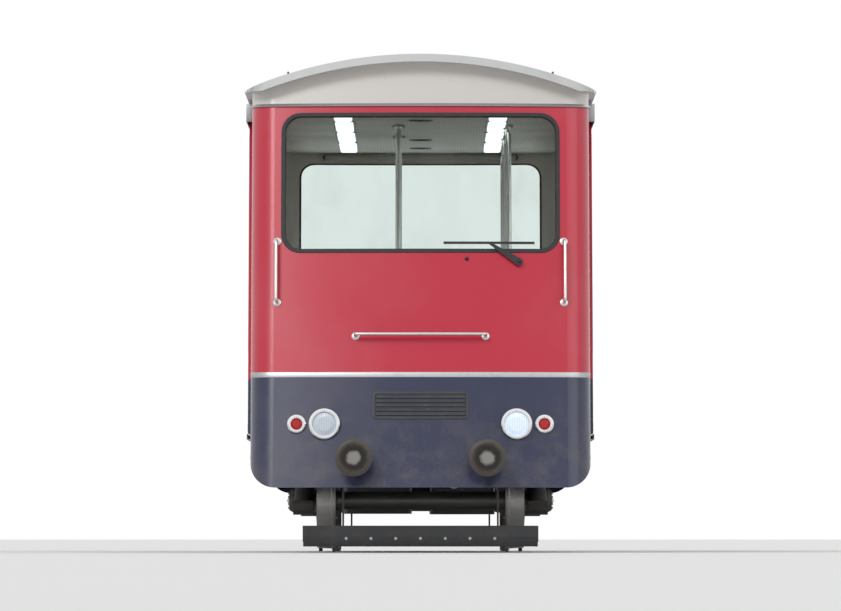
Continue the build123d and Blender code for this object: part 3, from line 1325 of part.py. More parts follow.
# Driver's desks under the windscreens, their edges rounded
with BuildPart() as driver_desks:
    for end, sign, terrace in ((-1, 1, 0), (1, -1, TERRACES - 1)):
        with BuildSketch(terrace_plane(terrace, end * DESK_STATION, sign * DESK_X)):
            with BuildLine():
                Polyline(
                    (0, 0),
                    (-end * DESK_FOOT, 0),
                    (-end * DESK_FOOT, DESK_HEIGHT - DESK_RISE - 2 * DESK_EDGE),
                    (-end * DESK_TOP, DESK_HEIGHT - DESK_RISE),
                    (-end * DESK_TOP, DESK_HEIGHT - DESK_RISE + DESK_EDGE),
                    (-end * DESK_FOOT / 2, DESK_HEIGHT),
                    (0, DESK_HEIGHT),
                    close=True,
                )
            make_face()
        extrude(amount=sign * DESK_WIDTH)
    fillet(driver_desks.edges().filter_by(Axis.X).group_by(Axis.Z)[-1], DESK_ROUND)
save(driver_desks, "driver_desks")
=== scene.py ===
"""Looks of a small stepped funicular car: its finishes and fittings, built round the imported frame.

+Y runs uphill along the car, +X is on the right as one looks uphill, and +Z stands square on the plane that
the wheels stand on. Pillars and ends lean uphill with height, so that they stand plumb on the slope. Places
are in metres. Sections, profiles, radii and other sizes of a drawing are in millimetres.
"""

from __future__ import annotations

import json
import logging
import math
from dataclasses import dataclass
from enum import Enum
from itertools import product
from typing import Callable, Iterable, Sequence

import bmesh
import bpy
from mathutils import Matrix, Vector

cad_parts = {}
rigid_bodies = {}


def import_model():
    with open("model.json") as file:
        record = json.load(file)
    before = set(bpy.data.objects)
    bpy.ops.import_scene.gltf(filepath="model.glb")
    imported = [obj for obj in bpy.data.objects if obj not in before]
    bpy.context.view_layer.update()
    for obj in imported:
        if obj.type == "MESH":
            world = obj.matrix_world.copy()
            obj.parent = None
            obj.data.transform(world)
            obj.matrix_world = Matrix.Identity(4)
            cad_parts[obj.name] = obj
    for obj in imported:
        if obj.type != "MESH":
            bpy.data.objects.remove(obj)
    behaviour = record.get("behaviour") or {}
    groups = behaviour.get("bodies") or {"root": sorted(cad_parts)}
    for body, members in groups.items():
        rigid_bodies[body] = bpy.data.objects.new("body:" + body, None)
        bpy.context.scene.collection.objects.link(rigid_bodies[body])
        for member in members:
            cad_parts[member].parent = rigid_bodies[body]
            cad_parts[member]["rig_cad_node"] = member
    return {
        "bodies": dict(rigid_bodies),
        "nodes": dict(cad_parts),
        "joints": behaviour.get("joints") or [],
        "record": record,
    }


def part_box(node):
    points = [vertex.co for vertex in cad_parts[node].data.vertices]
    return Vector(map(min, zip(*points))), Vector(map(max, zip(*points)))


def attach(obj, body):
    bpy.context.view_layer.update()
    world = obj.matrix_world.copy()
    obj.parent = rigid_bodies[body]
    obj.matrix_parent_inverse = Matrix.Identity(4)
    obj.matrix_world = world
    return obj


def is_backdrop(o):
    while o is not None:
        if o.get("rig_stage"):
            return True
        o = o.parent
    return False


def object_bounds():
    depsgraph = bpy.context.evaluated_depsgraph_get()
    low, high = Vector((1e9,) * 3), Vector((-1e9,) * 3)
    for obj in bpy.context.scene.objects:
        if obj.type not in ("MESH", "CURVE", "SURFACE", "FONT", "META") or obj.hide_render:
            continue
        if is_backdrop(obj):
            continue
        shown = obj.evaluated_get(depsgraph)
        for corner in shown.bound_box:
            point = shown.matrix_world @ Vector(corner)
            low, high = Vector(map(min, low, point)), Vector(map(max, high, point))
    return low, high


LOG = logging.getLogger("funicular_car")
MM = 0.001
TOUCH = 1e-5
CREASE_ANGLE, BEVEL_ANGLE = math.radians(32.0), math.radians(40.0)
Colour = tuple[float, float, float]
Section = Sequence[tuple[float, float]]
Piece = bpy.types.Object
Ways = Vector | Sequence[Vector]


# Shader boards


class Sock:
    """A socket on a board, whose operators add Math nodes."""

    def __init__(self, board: Board, out: bpy.types.NodeSocket) -> None:
        """Keeps the board and the socket."""
        self.board, self.out = board, out

    def maths(self, operation: str, *values: Sock | float) -> Sock:
        """A Math node that takes these values."""
        return self.board.sock("ShaderNodeMath", {"operation": operation}, dict(enumerate(values)))

    def __add__(self, other: Sock | float) -> Sock:
        """This plus other."""
        return self.maths("ADD", self, other)

    def __radd__(self, other: float) -> Sock:
        """Other plus this."""
        return self.maths("ADD", other, self)

    def __sub__(self, other: Sock | float) -> Sock:
        """This less other."""
        return self.maths("SUBTRACT", self, other)

    def __rsub__(self, other: float) -> Sock:
        """Other less this."""
        return self.maths("SUBTRACT", other, self)

    def __mul__(self, other: Sock | float) -> Sock:
        """This times other."""
        return self.maths("MULTIPLY", self, other)

    def __rmul__(self, other: float) -> Sock:
        """Other times this."""
        return self.maths("MULTIPLY", other, self)

    def __truediv__(self, other: float) -> Sock:
        """This over other."""
        return self.maths("DIVIDE", self, other)

    def __pow__(self, other: float) -> Sock:
        """This to a power."""
        return self.maths("POWER", self, other)

    def __abs__(self) -> Sock:
        """This without its sign."""
        return self.maths("ABSOLUTE", self)

    def far(self, other: Sock) -> Sock:
        """How far a point is from the middle that lies this and other from it, at right angles."""
        return (self * self + other * other) ** 0.5

    def part(self) -> Sock:
        """What is left over the next whole number below, less a half."""
        return self.maths("FRACT", self) - 0.5

    def under(self, limit: float) -> Sock:
        """1 where this is under a limit, and 0 elsewhere."""
        return self.maths("LESS_THAN", self, limit)


class Board:
    """The node board of one material or world."""

    def __init__(self, owner: bpy.types.Material | bpy.types.World) -> None:
        """Clears the owner's nodes.

        Args:
            owner: The material or world whose board it is.
        """
        owner.use_nodes = True
        self.tree = owner.node_tree
        self.tree.nodes.clear()

    def node(self, kind: str, settings: dict | None = None, inputs: dict | None = None) -> bpy.types.Node:
        """Adds one node.

        Args:
            kind: Its type.
            settings: Its settings by name, which are set first.
            inputs: Values or links by socket name or number.

        Returns:
            The node.
        """
        made = self.tree.nodes.new(kind)
        for name, value in (settings or {}).items():
            setattr(made, name, value)
        for name, value in (inputs or {}).items():
            if isinstance(value, Sock):
                self.tree.links.new(value.out, made.inputs[name])
            else:
                made.inputs[name].default_value = value
        return made

    def sock(
        self, kind: str, settings: dict | None = None, inputs: dict | None = None, out: str | int = 0
    ) -> Sock:
        """Adds one node and wraps one of its outputs."""
        return Sock(self, self.node(kind, settings, inputs).outputs[out])

    def here(self) -> Sock:
        """Object coordinates."""
        return self.sock("ShaderNodeTexCoord", out="Object")

    def place(self, stretch: Sequence[float]) -> Sock:
        """Object coordinates drawn out along the axes, so that a pattern gets this many times finer."""
        return self.sock("ShaderNodeMapping", None, {"Vector": self.here(), "Scale": tuple(stretch)})

    def axes(self) -> tuple[Sock, Sock, Sock]:
        """The three Object coordinates as numbers."""
        split = self.node("ShaderNodeSeparateXYZ", None, {0: self.here()})
        return tuple(Sock(self, output) for output in split.outputs)

    def facing_up(self) -> Sock:
        """How far a face looks up, from -1 to 1."""
        normal = self.sock("ShaderNodeNewGeometry", out="Normal")
        return self.sock("ShaderNodeSeparateXYZ", None, {0: normal}, 2)

    def noise(self, size: float, detail: float = 3.0, stretch: Sequence[float] = (1.0, 1.0, 1.0)) -> Sock:
        """Cloudy noise from 0 to 1, with patches of this size in metres and finer layers over them."""
        inputs = {"Vector": self.place(stretch), "Scale": 1.0 / size, "Detail": detail, "Roughness": 0.6}
        return self.sock("ShaderNodeTexNoise", None, inputs)

    def ramp(self, value: Sock, low: float, high: float) -> Sock:
        """A smooth 0 to 1 as value goes from low to high."""
        inputs = {"Value": value, "From Min": low, "From Max": high}
        return self.sock("ShaderNodeMapRange", {"interpolation_type": "SMOOTHSTEP"}, inputs)

    def blots(
        self, size: float, detail: float, low: float, high: float, stretch: Sequence[float] = (1.0, 1.0, 1.0)
    ) -> Sock:
        """Noise as patches: 0 where it is lower than low, and 1 where it is higher than high."""
        return self.ramp(self.noise(size, detail, stretch), low, high)

    def mix(self, factor: Sock | float, first: Sock | Colour, second: Sock | Colour) -> Sock:
        """The first colour turning into the second as factor goes from 0 to 1."""
        full = [(*c, 1.0) if isinstance(c, tuple) else c for c in (first, second)]
        return self.sock("ShaderNodeMix", {"data_type": "RGBA"}, {0: factor, 6: full[0], 7: full[1]}, 2)

    def close(self, shader: bpy.types.Node, kind: str = "ShaderNodeOutputMaterial") -> None:
        """Sends a shader to the output."""
        self.node(kind, None, {0: Sock(self, shader.outputs[0])})

    def surface(
        self, colour: Sock, rough: Sock, relief: Sock | None = None, depth: float = 0.0, **fixed: object
    ) -> None:
        """Closes the board with one Principled shader.

        Args:
            colour: Its base colour.
            rough: Its roughness.
            relief: Height of its relief, as a number.
            depth: Depth of the relief in metres.
            fixed: Values of other sockets, with _ for the space in their names.
        """
        inputs = {"Base Color": colour, "Roughness": rough}
        if relief is not None:
            bump = {"Height": relief, "Distance": depth, "Strength": 1.0}
            inputs["Normal"] = self.sock("ShaderNodeBump", None, bump)
        inputs.update({name.replace("_", " "): value for name, value in fixed.items()})
        self.close(self.node("ShaderNodeBsdfPrincipled", None, inputs))


# Finishes


@dataclass(frozen=True)
class Finish:
    """A finish that pieces are dressed in."""

    name: str
    slot: str

    def lay(self, board: Board) -> None:
        """Draws the finish on its board."""
        raise NotImplementedError

    def material(self) -> bpy.types.Material:
        """Makes the finish's material, once.

        Returns:
            The material.
        """
        found = bpy.data.materials.get(self.name)
        if found is None:
            found = bpy.data.materials.new(self.name)
            self.lay(Board(found))
        return found

    def dress(self, piece: Piece) -> None:
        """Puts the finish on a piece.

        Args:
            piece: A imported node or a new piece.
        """
        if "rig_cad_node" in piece:
            for place in piece.material_slots:
                place.material = self.material()
            return
        piece.data.materials.clear()
        piece.data.materials.append(self.material())
        self.slot


@dataclass(frozen=True)
class CoachPaint(Finish):
    """Gloss paint: red, dark blue under the waist, pale lining inside, and a pale band under the roof that is
    a painted highlight.
    """

    # Pale colour from the cantrail up, all round the car: a painted highlight, the glare of the upper body
    # laid into the paint.
    band: Colour = (0.66, 0.63, 0.59)
    upper: Colour = (0.53, 0.016, 0.044)
    lower: Colour = (0.018, 0.024, 0.066)
    lining: Colour = (0.60, 0.575, 0.52)
    dust: Colour = (0.17, 0.145, 0.115)
    primer: Colour = (0.20, 0.19, 0.18)
    cantrail: float = 2.918
    waist: float = 1.1497
    inner_half: float = 1.0408
    inner_radius: float = 5.4965
    floor_line: float = 0.71

    def inside(self, board: Board) -> Sock:
        """Tells faces that look into the cabin by how deep they lie behind the sides and the bowed ends.

        Args:
            board: The board it is drawn on.

        Returns:
            1 on those faces, and 0 outside.
        """
        x, y, z = board.axes()
        level = abs(y - (z - CAR.level_height) * math.tan(CAR.slope)) * math.cos(CAR.slope) - CAR.bow_centre
        between = 1.0 - board.ramp(abs(x), self.inner_half, self.inner_half + 0.0006)
        behind = 1.0 - board.ramp(x.far(level), self.inner_radius, self.inner_radius + 0.0008)
        return between * behind * board.ramp(z, self.floor_line, self.floor_line + 0.01)

    def lay(self, board: Board) -> None:
        """Draws the colours by height, with the painted highlight of the pale band at the top, faded a little
        in patches, then streaks, dust and chips.

        Args:
            board: The board it is drawn on.
        """
        z, inside, edge = board.axes()[2], self.inside(board), 0.0004
        paint = board.mix(board.ramp(z, self.waist - edge, self.waist + edge), self.lower, self.upper)
        # Painted highlight: the pale band from the cantrail up.
        paint = board.mix(board.ramp(z, self.cantrail - edge, self.cantrail + edge), paint, self.band)
        faded = board.mix(0.10, paint, (0.50, 0.36, 0.37))
        colour = board.mix(board.blots(0.9, 3.0, 0.42, 0.75) * 0.6, paint, faded)
        streaks = board.blots(0.30, 4.0, 0.56, 0.82, (14.0, 14.0, 0.8))
        low = 1.0 - board.ramp(z, 0.50, 1.15)
        grime = board.blots(0.12, 5.0, 0.36, 0.80) * low * 0.30 + streaks * (0.07 + low * 0.10)
        chips = board.blots(0.011, 2.0, 0.70, 0.74) * (1.0 - board.ramp(z, 0.55, 0.95))
        colour = board.mix(chips * 0.7, board.mix(grime, colour, self.dust), self.primer)
        scuffs = board.blots(0.22, 5.0, 0.46, 0.80) * (0.08 + low * 0.35)
        colour = board.mix(inside, colour, board.mix(scuffs, self.lining, (0.24, 0.22, 0.19)))
        rough = 0.26 + board.noise(0.05, 4.0) * 0.08 + grime * 0.5 + chips * 0.3 + inside * 0.20
        relief = board.noise(0.0045, 1.0) * 0.35 + board.noise(0.16, 1.0) * 3.0 - chips * 1.2
        coat = {"Coat_Weight": 0.30, "Coat_Roughness": 0.10, "Specular_IOR_Level": 0.42}
        board.surface(colour, rough, relief, 0.00016, **coat)


@dataclass(frozen=True)
class RoofPaint(Finish):
    """Pale matt roof paint, with dirt washed down towards the gutters and soot in patches."""

    paint: Colour = (0.60, 0.61, 0.61)
    dirt: Colour = (0.20, 0.185, 0.16)

    def lay(self, board: Board) -> None:
        """Draws rain streaks across the car, and patches of soot on top.

        Args:
            board: The board it is drawn on.
        """
        outer = board.ramp(abs(board.axes()[0]), 0.2, 1.14)
        streaks = board.blots(0.60, 3.0, 0.40, 0.85, (0.9, 9.0, 1.0))
        specks = board.blots(0.014, 2.0, 0.66, 0.74)
        dirt = streaks * (0.08 + outer * 0.34) + board.blots(0.5, 6.0, 0.45, 0.80) * 0.24 + specks * 0.12
        relief = board.noise(0.006, 3.0) + specks * 1.5
        board.surface(board.mix(dirt, self.paint, self.dirt), 0.52 + dirt * 0.35, relief, 0.0003)


@dataclass(frozen=True)
class FramePaint(Finish):
    """Dark frame paint, thick and a little uneven, under road dust and old grease."""

    paint: Colour = (0.030, 0.032, 0.036)
    dust: Colour = (0.15, 0.13, 0.105)
    rust: Colour = (0.12, 0.038, 0.014)
    gloss: float = 0.42

    def lay(self, board: Board) -> None:
        """Draws dust on faces that look up and in patches, with a few rust spots.

        Args:
            board: The board it is drawn on.
        """
        lying = board.ramp(board.facing_up(), 0.35, 0.95)
        dust = board.blots(0.10, 6.0, 0.40, 0.75) * (0.16 + lying * 0.40)
        rust = board.blots(0.035, 5.0, 0.66, 0.74)
        colour = board.mix(rust * 0.55, board.mix(dust, self.paint, self.dust), self.rust)
        rough = self.gloss + dust * 0.8 + rust * 0.3 + board.noise(0.02, 3.0) * 0.10
        board.surface(colour, rough, board.noise(0.008, 4.0) + rust, 0.0004)


@dataclass(frozen=True)
class CastSteel(Finish):
    """Forged and cast steel with its rough skin, oiled dark and browned by brake dust."""

    skin: Colour = (0.085, 0.078, 0.070)
    bright: Colour = (0.30, 0.29, 0.28)
    brown: Colour = (0.13, 0.060, 0.030)

    def lay(self, board: Board) -> None:
        """Draws a pitted skin, rubbed bright in patches.

        Args:
            board: The board it is drawn on.
        """
        rubbed = board.blots(0.09, 5.0, 0.55, 0.80)
        brown = board.blots(0.045, 5.0, 0.48, 0.74)
        colour = board.mix(brown * 0.5, board.mix(rubbed * 0.5, self.skin, self.bright), self.brown)
        relief = board.noise(0.005, 3.0) + board.noise(0.03, 2.0) * 1.5
        board.surface(colour, 0.62 - rubbed * 0.22 + brown * 0.12, relief, 0.0007, Metallic=0.55)


@dataclass(frozen=True)
class BufferSteel(CastSteel):
    """Cast steel whose round heads are greased and rubbed bright in the middle, where they meet."""

    across: float = 0.430
    height: float = 0.610
    grease: Colour = (0.012, 0.011, 0.010)

    def lay(self, board: Board) -> None:
        """Draws a bright scratched spot, a ring of black grease round it, and the rough skin outside.

        Args:
            board: The board it is drawn on.
        """
        x, _, z = board.axes()
        aside, over = abs(x) - self.across, z - self.height
        far = aside.far(over) + board.noise(0.03, 4.0) * 0.030
        spot = 1.0 - board.ramp(far, 0.045, 0.070)
        grease = (1.0 - board.ramp(far, 0.085, 0.125)) * (1.0 - spot)
        brown = board.blots(0.045, 5.0, 0.48, 0.74)
        scratches = board.noise(0.02, 3.0, (1.0, 1.0, 9.0))
        colour = board.mix(grease * 0.8, board.mix(brown * 0.6, self.skin, self.brown), self.grease)
        colour = board.mix(spot, colour, board.mix(scratches, (0.22, 0.21, 0.20), self.bright))
        rough = 0.62 + brown * 0.12 - grease * 0.30 - spot * 0.26 + scratches * spot * 0.1
        relief = board.noise(0.005, 3.0) + board.noise(0.03, 2.0) * 1.5
        board.surface(colour, rough, relief, 0.0006, Metallic=0.6)


@dataclass(frozen=True)
class WheelSteel(Finish):
    """Wheelsets: treads and flanges rolled bright, oiled axles, the discs painted and dusty."""

    spacing: float = 1.9
    height: float = 0.345
    disc: Colour = (0.060, 0.052, 0.046)
    dust: Colour = (0.16, 0.085, 0.045)
    rolled: Colour = (0.56, 0.55, 0.53)

    def lay(self, board: Board) -> None:
        """Draws tread, disc and hub by how far a point is from its axle's middle line.

        Args:
            board: The board it is drawn on.
        """
        _, y, z = board.axes()
        along = abs(y) - self.spacing
        radius = along.far(z - self.height)
        tread = board.ramp(radius, 0.309, 0.316)
        hub = 1.0 - board.ramp(radius, 0.076, 0.084)
        marks = board.noise(0.010, 4.0, (9.0, 1.0, 1.0))
        dirt = board.blots(0.06, 5.0, 0.40, 0.75)
        near = 1.0 - board.ramp(radius, 0.10, 0.24)
        spill = board.blots(0.05, 4.0, 0.50, 0.72) * near * (1.0 - hub * 0.85)
        paint_mark = abs(along).under(0.007) * board.ramp(radius, 0.266, 0.268) * (1.0 - tread)
        colour = board.mix(dirt * 0.6, self.disc, self.dust)
        colour = board.mix(spill * 0.8, colour, (0.012, 0.010, 0.008))
        colour = board.mix(hub, colour, (0.26, 0.25, 0.24))
        colour = board.mix(tread, colour, board.mix(marks, (0.36, 0.35, 0.34), self.rolled))
        colour = board.mix(paint_mark * 0.8, colour, (0.58, 0.57, 0.52))
        rough = 0.62 + dirt * 0.2 - spill * 0.35 - hub * 0.22 - tread * 0.36 + marks * tread * 0.18
        metal = 0.25 + tread * 0.72 + hub * 0.60
        board.surface(colour, rough, board.noise(0.006, 3.0) * (1.0 - tread * 0.9), 0.0006, Metallic=metal)


@dataclass(frozen=True)
class BrushedMetal(Finish):
    """Brushed or drawn metal whose fine lines run along one axis."""

    tone: Colour = (0.62, 0.62, 0.60)
    lines: tuple[float, float, float] = (60.0, 60.0, 1.0)
    rough: float = 0.26

    def lay(self, board: Board) -> None:
        """Draws fine lines, hand marks and a little tarnish.

        Args:
            board: The board it is drawn on.
        """
        brushed = board.noise(0.06, 2.0, self.lines)
        marks = board.blots(0.07, 4.0, 0.45, 0.75)
        colour = board.mix(marks * 0.35, self.tone, tuple(0.62 * c for c in self.tone))
        board.surface(colour, self.rough + brushed * 0.12 + marks * 0.14, brushed, 0.00012, Metallic=1.0)


@dataclass(frozen=True)
class DoorGear(Finish):
    """Anodised covers over door rails and guides, with pressed grooves and a row of countersunk screws."""

    tone: Colour = (0.40, 0.41, 0.42)
    shadow: Colour = (0.030, 0.030, 0.030)
    grooves: tuple[float, ...] = (2.8810, 2.8890, 2.9690, 0.7600)
    groove_half: float = 0.0012
    screws: float = 2.9775
    pitch: float = 0.1640
    radius: float = 0.0050

    def lay(self, board: Board) -> None:
        """Draws grooves and screws by place, over fine lines along the car.

        Args:
            board: The board it is drawn on.
        """
        _, y, z = board.axes()
        brushed = board.noise(0.06, 2.0, (60.0, 1.0, 60.0))
        groove = abs(z - self.grooves[0]).under(self.groove_half)
        for height in self.grooves[1:]:
            groove = groove + abs(z - height).under(self.groove_half)
        along, up = (y / self.pitch).part() * self.pitch, z - self.screws
        far = along.far(up)
        head = 1.0 - board.ramp(far, self.radius * 0.9, self.radius)
        gap = 1.0 - (board.ramp(far, self.radius, self.radius * 1.2) + head)
        cross = head * (1.0 - board.ramp(abs(along + up), 0.0006, 0.0012))
        marks = board.blots(0.10, 5.0, 0.45, 0.78)
        colour = board.mix(marks * 0.4, self.tone, tuple(0.60 * c for c in self.tone))
        colour = board.mix(groove * 0.7 + cross * 0.8 + gap * 0.7, colour, self.shadow)
        relief = brushed * 0.12 - groove - gap - cross
        board.surface(colour, 0.38 + brushed * 0.14 + marks * 0.15, relief, 0.0010, Metallic=0.9)


@dataclass(frozen=True)
class BlackRubber(Finish):
    """Black rubber gone grey at its surface."""

    rubber: Colour = (0.017, 0.017, 0.018)
    bloom: Colour = (0.075, 0.072, 0.068)

    def lay(self, board: Board) -> None:
        """Draws bloom and dust over a fine grain.

        Args:
            board: The board it is drawn on.
        """
        bloom = board.blots(0.05, 5.0, 0.40, 0.78)
        colour = board.mix(bloom * 0.5, self.rubber, self.bloom)
        board.surface(colour, 0.62 + bloom * 0.25, board.noise(0.0025, 2.0), 0.00025)


@dataclass(frozen=True)
class StuddedFloor(Finish):
    """Blue grey floor rubber with round studs, worn smooth and pale down the aisle."""

    pitch: float = 0.032
    rubber: Colour = (0.075, 0.085, 0.10)
    worn: Colour = (0.19, 0.19, 0.185)
    dirt: Colour = (0.035, 0.034, 0.033)
    fleck: Colour = (0.34, 0.35, 0.37)
    paint: Colour = (0.034, 0.036, 0.040)
    dust: Colour = (0.15, 0.13, 0.105)

    def lay(self, board: Board) -> None:
        """Draws studs from a square grid, trodden dirt round them, and dark paint on the underside.

        Args:
            board: The board it is drawn on.
        """
        x, y, _ = board.axes()
        across, along = (x / self.pitch).part(), (y / self.pitch).part()
        top = board.ramp(board.facing_up(), -0.4, -0.1)
        stud = (1.0 - board.ramp(across * across + along * along, 0.07, 0.13)) * top
        aisle = 1.0 - board.ramp(abs(x - 0.22), 0.20, 0.50)
        trodden = board.blots(0.20, 5.0, 0.35, 0.70) * (0.35 + aisle * 0.55)
        colour = board.mix((1.0 - stud) * 0.35, board.mix(trodden, self.rubber, self.worn), self.dirt)
        colour = board.mix(board.blots(0.004, 1.0, 0.64, 0.70) * 0.35, colour, self.fleck)
        under = board.mix(board.blots(0.12, 6.0, 0.40, 0.75) * 0.35, self.paint, self.dust)
        board.surface(board.mix(top, under, colour), 0.55 + trodden * 0.2, stud, 0.0012)


@dataclass(frozen=True)
class VarnishedWood(Finish):
    """Varnished beech whose grain runs across the car."""

    light: Colour = (0.46, 0.235, 0.095)
    dark: Colour = (0.25, 0.105, 0.036)
    pale: Colour = (0.53, 0.30, 0.13)
    fleck: Colour = (0.14, 0.055, 0.02)

    def lay(self, board: Board) -> None:
        """Draws long grain, short dark flecks, and varnish worn dull in patches.

        Args:
            board: The board it is drawn on.
        """
        grain = board.noise(0.16, 6.0, (0.5, 9.0, 9.0))
        flecks = board.blots(0.012, 2.0, 0.60, 0.72, (0.25, 3.0, 3.0))
        colour = board.mix(board.ramp(grain, 0.30, 0.70), self.dark, self.light)
        colour = board.mix(board.blots(0.4, 1.0, 0.3, 0.7, (0.2, 2.0, 2.0)) * 0.3, colour, self.pale)
        colour = board.mix(flecks * 0.45, colour, self.fleck)
        worn = board.blots(0.18, 4.0, 0.46, 0.72)
        board.surface(colour, 0.26 + worn * 0.24, grain, 0.0002, Coat_Weight=0.30, Coat_Roughness=0.15)


@dataclass(frozen=True)
class CeilingLaminate(Finish):
    """Cream laminate with fine perforations in rows."""

    tone: Colour = (0.72, 0.70, 0.645)
    stain: Colour = (0.52, 0.48, 0.40)
    hole: Colour = (0.12, 0.12, 0.11)
    pitch: float = 0.020

    def lay(self, board: Board) -> None:
        """Draws small dark holes on a grid, and slight stains.

        Args:
            board: The board it is drawn on.
        """
        x, y, _ = board.axes()
        across, along = (x / self.pitch).part(), (y / self.pitch).part()
        hole = 1.0 - board.ramp(across * across + along * along, 0.018, 0.030)
        stain = board.blots(0.35, 5.0, 0.45, 0.75)
        colour = board.mix(hole * 0.7, board.mix(stain * 0.2, self.tone, self.stain), self.hole)
        board.surface(colour, 0.42 + stain * 0.15, 1.0 - hole, 0.0008)


@dataclass(frozen=True)
class Moulding(Finish):
    """Moulded or enamelled surface of one colour, with a fine pebbled grain and handling marks."""

    tone: Colour = (0.05, 0.052, 0.056)
    rough: float = 0.48
    grain: float = 0.0035
    depth: float = 0.00018

    def lay(self, board: Board) -> None:
        """Draws pebbled relief and patches of wear.

        Args:
            board: The board it is drawn on.
        """
        marks = board.blots(0.08, 5.0, 0.45, 0.78)
        paler = tuple(min(1.0, 1.25 * c + 0.03) for c in self.tone)
        place = {"Vector": board.here(), "Scale": 1.0 / self.grain}
        pebbles = board.sock("ShaderNodeTexVoronoi", None, place)
        colour = board.mix(marks * 0.45, self.tone, paler)
        board.surface(colour, self.rough + marks * 0.14, pebbles, self.depth)


@dataclass(frozen=True)
class WindowGlass(Finish):
    """Clear toughened glass, faintly green, with a film of dust."""

    tint: Colour = (0.945, 0.975, 0.965)

    def lay(self, board: Board) -> None:
        """Mirrors by the angle it is seen at, and lets the rest through.

        Args:
            board: The board it is drawn on.
        """
        film = board.blots(0.30, 6.0, 0.45, 0.85, (1.0, 1.0, 0.5))
        tilt = board.sock("ShaderNodeLayerWeight", None, {"Blend": 0.5}, "Facing")
        clear = board.sock("ShaderNodeBsdfTransparent", None, {"Color": (*self.tint, 1.0)})
        shine = board.sock("ShaderNodeBsdfPrincipled", None, {
            "Base Color": board.mix(film, (0.10, 0.11, 0.11), (0.36, 0.35, 0.33)),
            "Roughness": 0.03 + film * 0.10, "Metallic": 0.6,
        })
        mirror = tilt**5 * 0.90 + film * 0.05 + 0.036
        board.close(board.node("ShaderNodeMixShader", None, {0: mirror, 1: clear, 2: shine}))


@dataclass(frozen=True)
class LampLens(Finish):
    """Fluted lamp glass: white headlamps, of which the right one downhill is lit, and red tail lamps."""

    pitch: float = 0.011
    between: float = 0.71

    def lay(self, board: Board) -> None:
        """Draws flutes across the lens as relief, with painted shade that darkens the colour towards the
        grooves between them, and its colour by how far out the lamp is.

        Args:
            board: The board it is drawn on.
        """
        x, y, _ = board.axes()
        tail = board.ramp(abs(x), self.between, self.between + 0.004)
        lit = board.ramp(x, 0.40, 0.41) * (1.0 - tail) * (1.0 - board.ramp(y, -1.0, -0.9))
        flute_relief_and_shade = abs((x / self.pitch).part()) * 2.0
        flute_relief_and_shade = flute_relief_and_shade * flute_relief_and_shade
        # Painted shade: the lens colour darkens towards the grooves between the flutes, following their
        # relief.
        white = board.mix(flute_relief_and_shade, (0.66, 0.72, 0.80), (0.50, 0.55, 0.63))
        colour = board.mix(tail, white, board.mix(flute_relief_and_shade, (0.50, 0.012, 0.016), (0.30, 0.006, 0.010)))
        beam = board.mix(flute_relief_and_shade, (0.34, 0.42, 0.60), (0.22, 0.30, 0.47))
        glow = board.mix(lit, board.mix(tail, (0.020, 0.024, 0.032), (0.05, 0.0, 0.0)), beam)
        rough = 0.10 + board.noise(0.01, 2.0) * 0.05
        board.surface(colour, rough, flute_relief_and_shade, 0.0010, Emission_Color=glow, Emission_Strength=0.9)


@dataclass(frozen=True)
class LightStrip(Finish):
    """Milky cover of a ceiling light, softly lit."""

    pitch: float = 0.012

    def lay(self, board: Board) -> None:
        """Draws fine ribs across it, a little yellowed.

        Args:
            board: The board it is drawn on.
        """
        rib = abs((board.axes()[1] / self.pitch).part()) * 2.0
        aged = board.blots(0.2, 4.0, 0.4, 0.8)
        colour = board.mix(aged * 0.4, (0.84, 0.85, 0.83), (0.78, 0.72, 0.56))
        glow = board.mix(aged * 0.3, (0.52, 0.54, 0.56), (0.50, 0.47, 0.40))
        board.surface(colour, 0.30 + aged * 0.1, rib, 0.0006, Emission_Color=glow, Emission_Strength=2.4)


@dataclass(frozen=True)
class Dial(Finish):
    """White dial of a round gauge, with its ring of division marks."""

    middle: tuple[float, float, float] = (0.0, 0.0, 0.0)
    radius: float = 0.04
    slant: float = 0.98
    divisions: int = 18

    def lay(self, board: Board) -> None:
        """Draws marks from the angle and distance round the dial's middle.

        Args:
            board: The board it is drawn on.
        """
        x, y, _ = board.axes()
        across, along = x - self.middle[0], (y - self.middle[1]) / self.slant
        far = across.far(along)
        angle = across.maths("ARCTAN2", across, along)
        line = board.ramp(abs((angle / (math.tau / self.divisions)).part()), 0.40, 0.46)
        inner = board.ramp(far, 0.62 * self.radius, 0.66 * self.radius)
        band = inner * (1.0 - board.ramp(far, 0.84 * self.radius, 0.88 * self.radius))
        colour = board.mix(line * band, (0.70, 0.70, 0.67), (0.015, 0.015, 0.015))
        board.surface(colour, 0.18 + board.noise(0.01, 2.0) * 0.1, board.noise(0.004), 0.00005)


PAINT = CoachPaint("two_tone_coach_paint", "red_paint")
LOWER_PAINT = CoachPaint("navy_coach_paint", "navy_paint")
DOOR_PAINT = CoachPaint("door_leaf_paint", "red_paint", inner_half=1.1083)
ROOF = RoofPaint("weathered_roof_paint", "roof_paint")
CHASSIS = FramePaint("dusty_frame_paint", "frame_paint")
MACHINE = FramePaint("grey_machine_enamel", "frame_paint", paint=(0.085, 0.10, 0.11), gloss=0.36)
FORGED = CastSteel("oiled_cast_steel", "forged_steel")
BUFFERS = BufferSteel("greased_buffer_steel", "forged_steel")
WHEELS = WheelSteel("rolled_wheel_steel", "wheel_steel")
STAINLESS = BrushedMetal("brushed_stainless", "pole_steel")
ALUMINIUM = BrushedMetal("anodised_aluminium", "door_aluminium", (0.44, 0.45, 0.46), (60.0, 1.0, 60.0), 0.36)
GEAR = DoorGear("grooved_door_gear", "door_aluminium")
CHROME = BrushedMetal("lamp_reflector", "lamp_metal", (0.80, 0.81, 0.82), (1.0, 1.0, 1.0), 0.06)
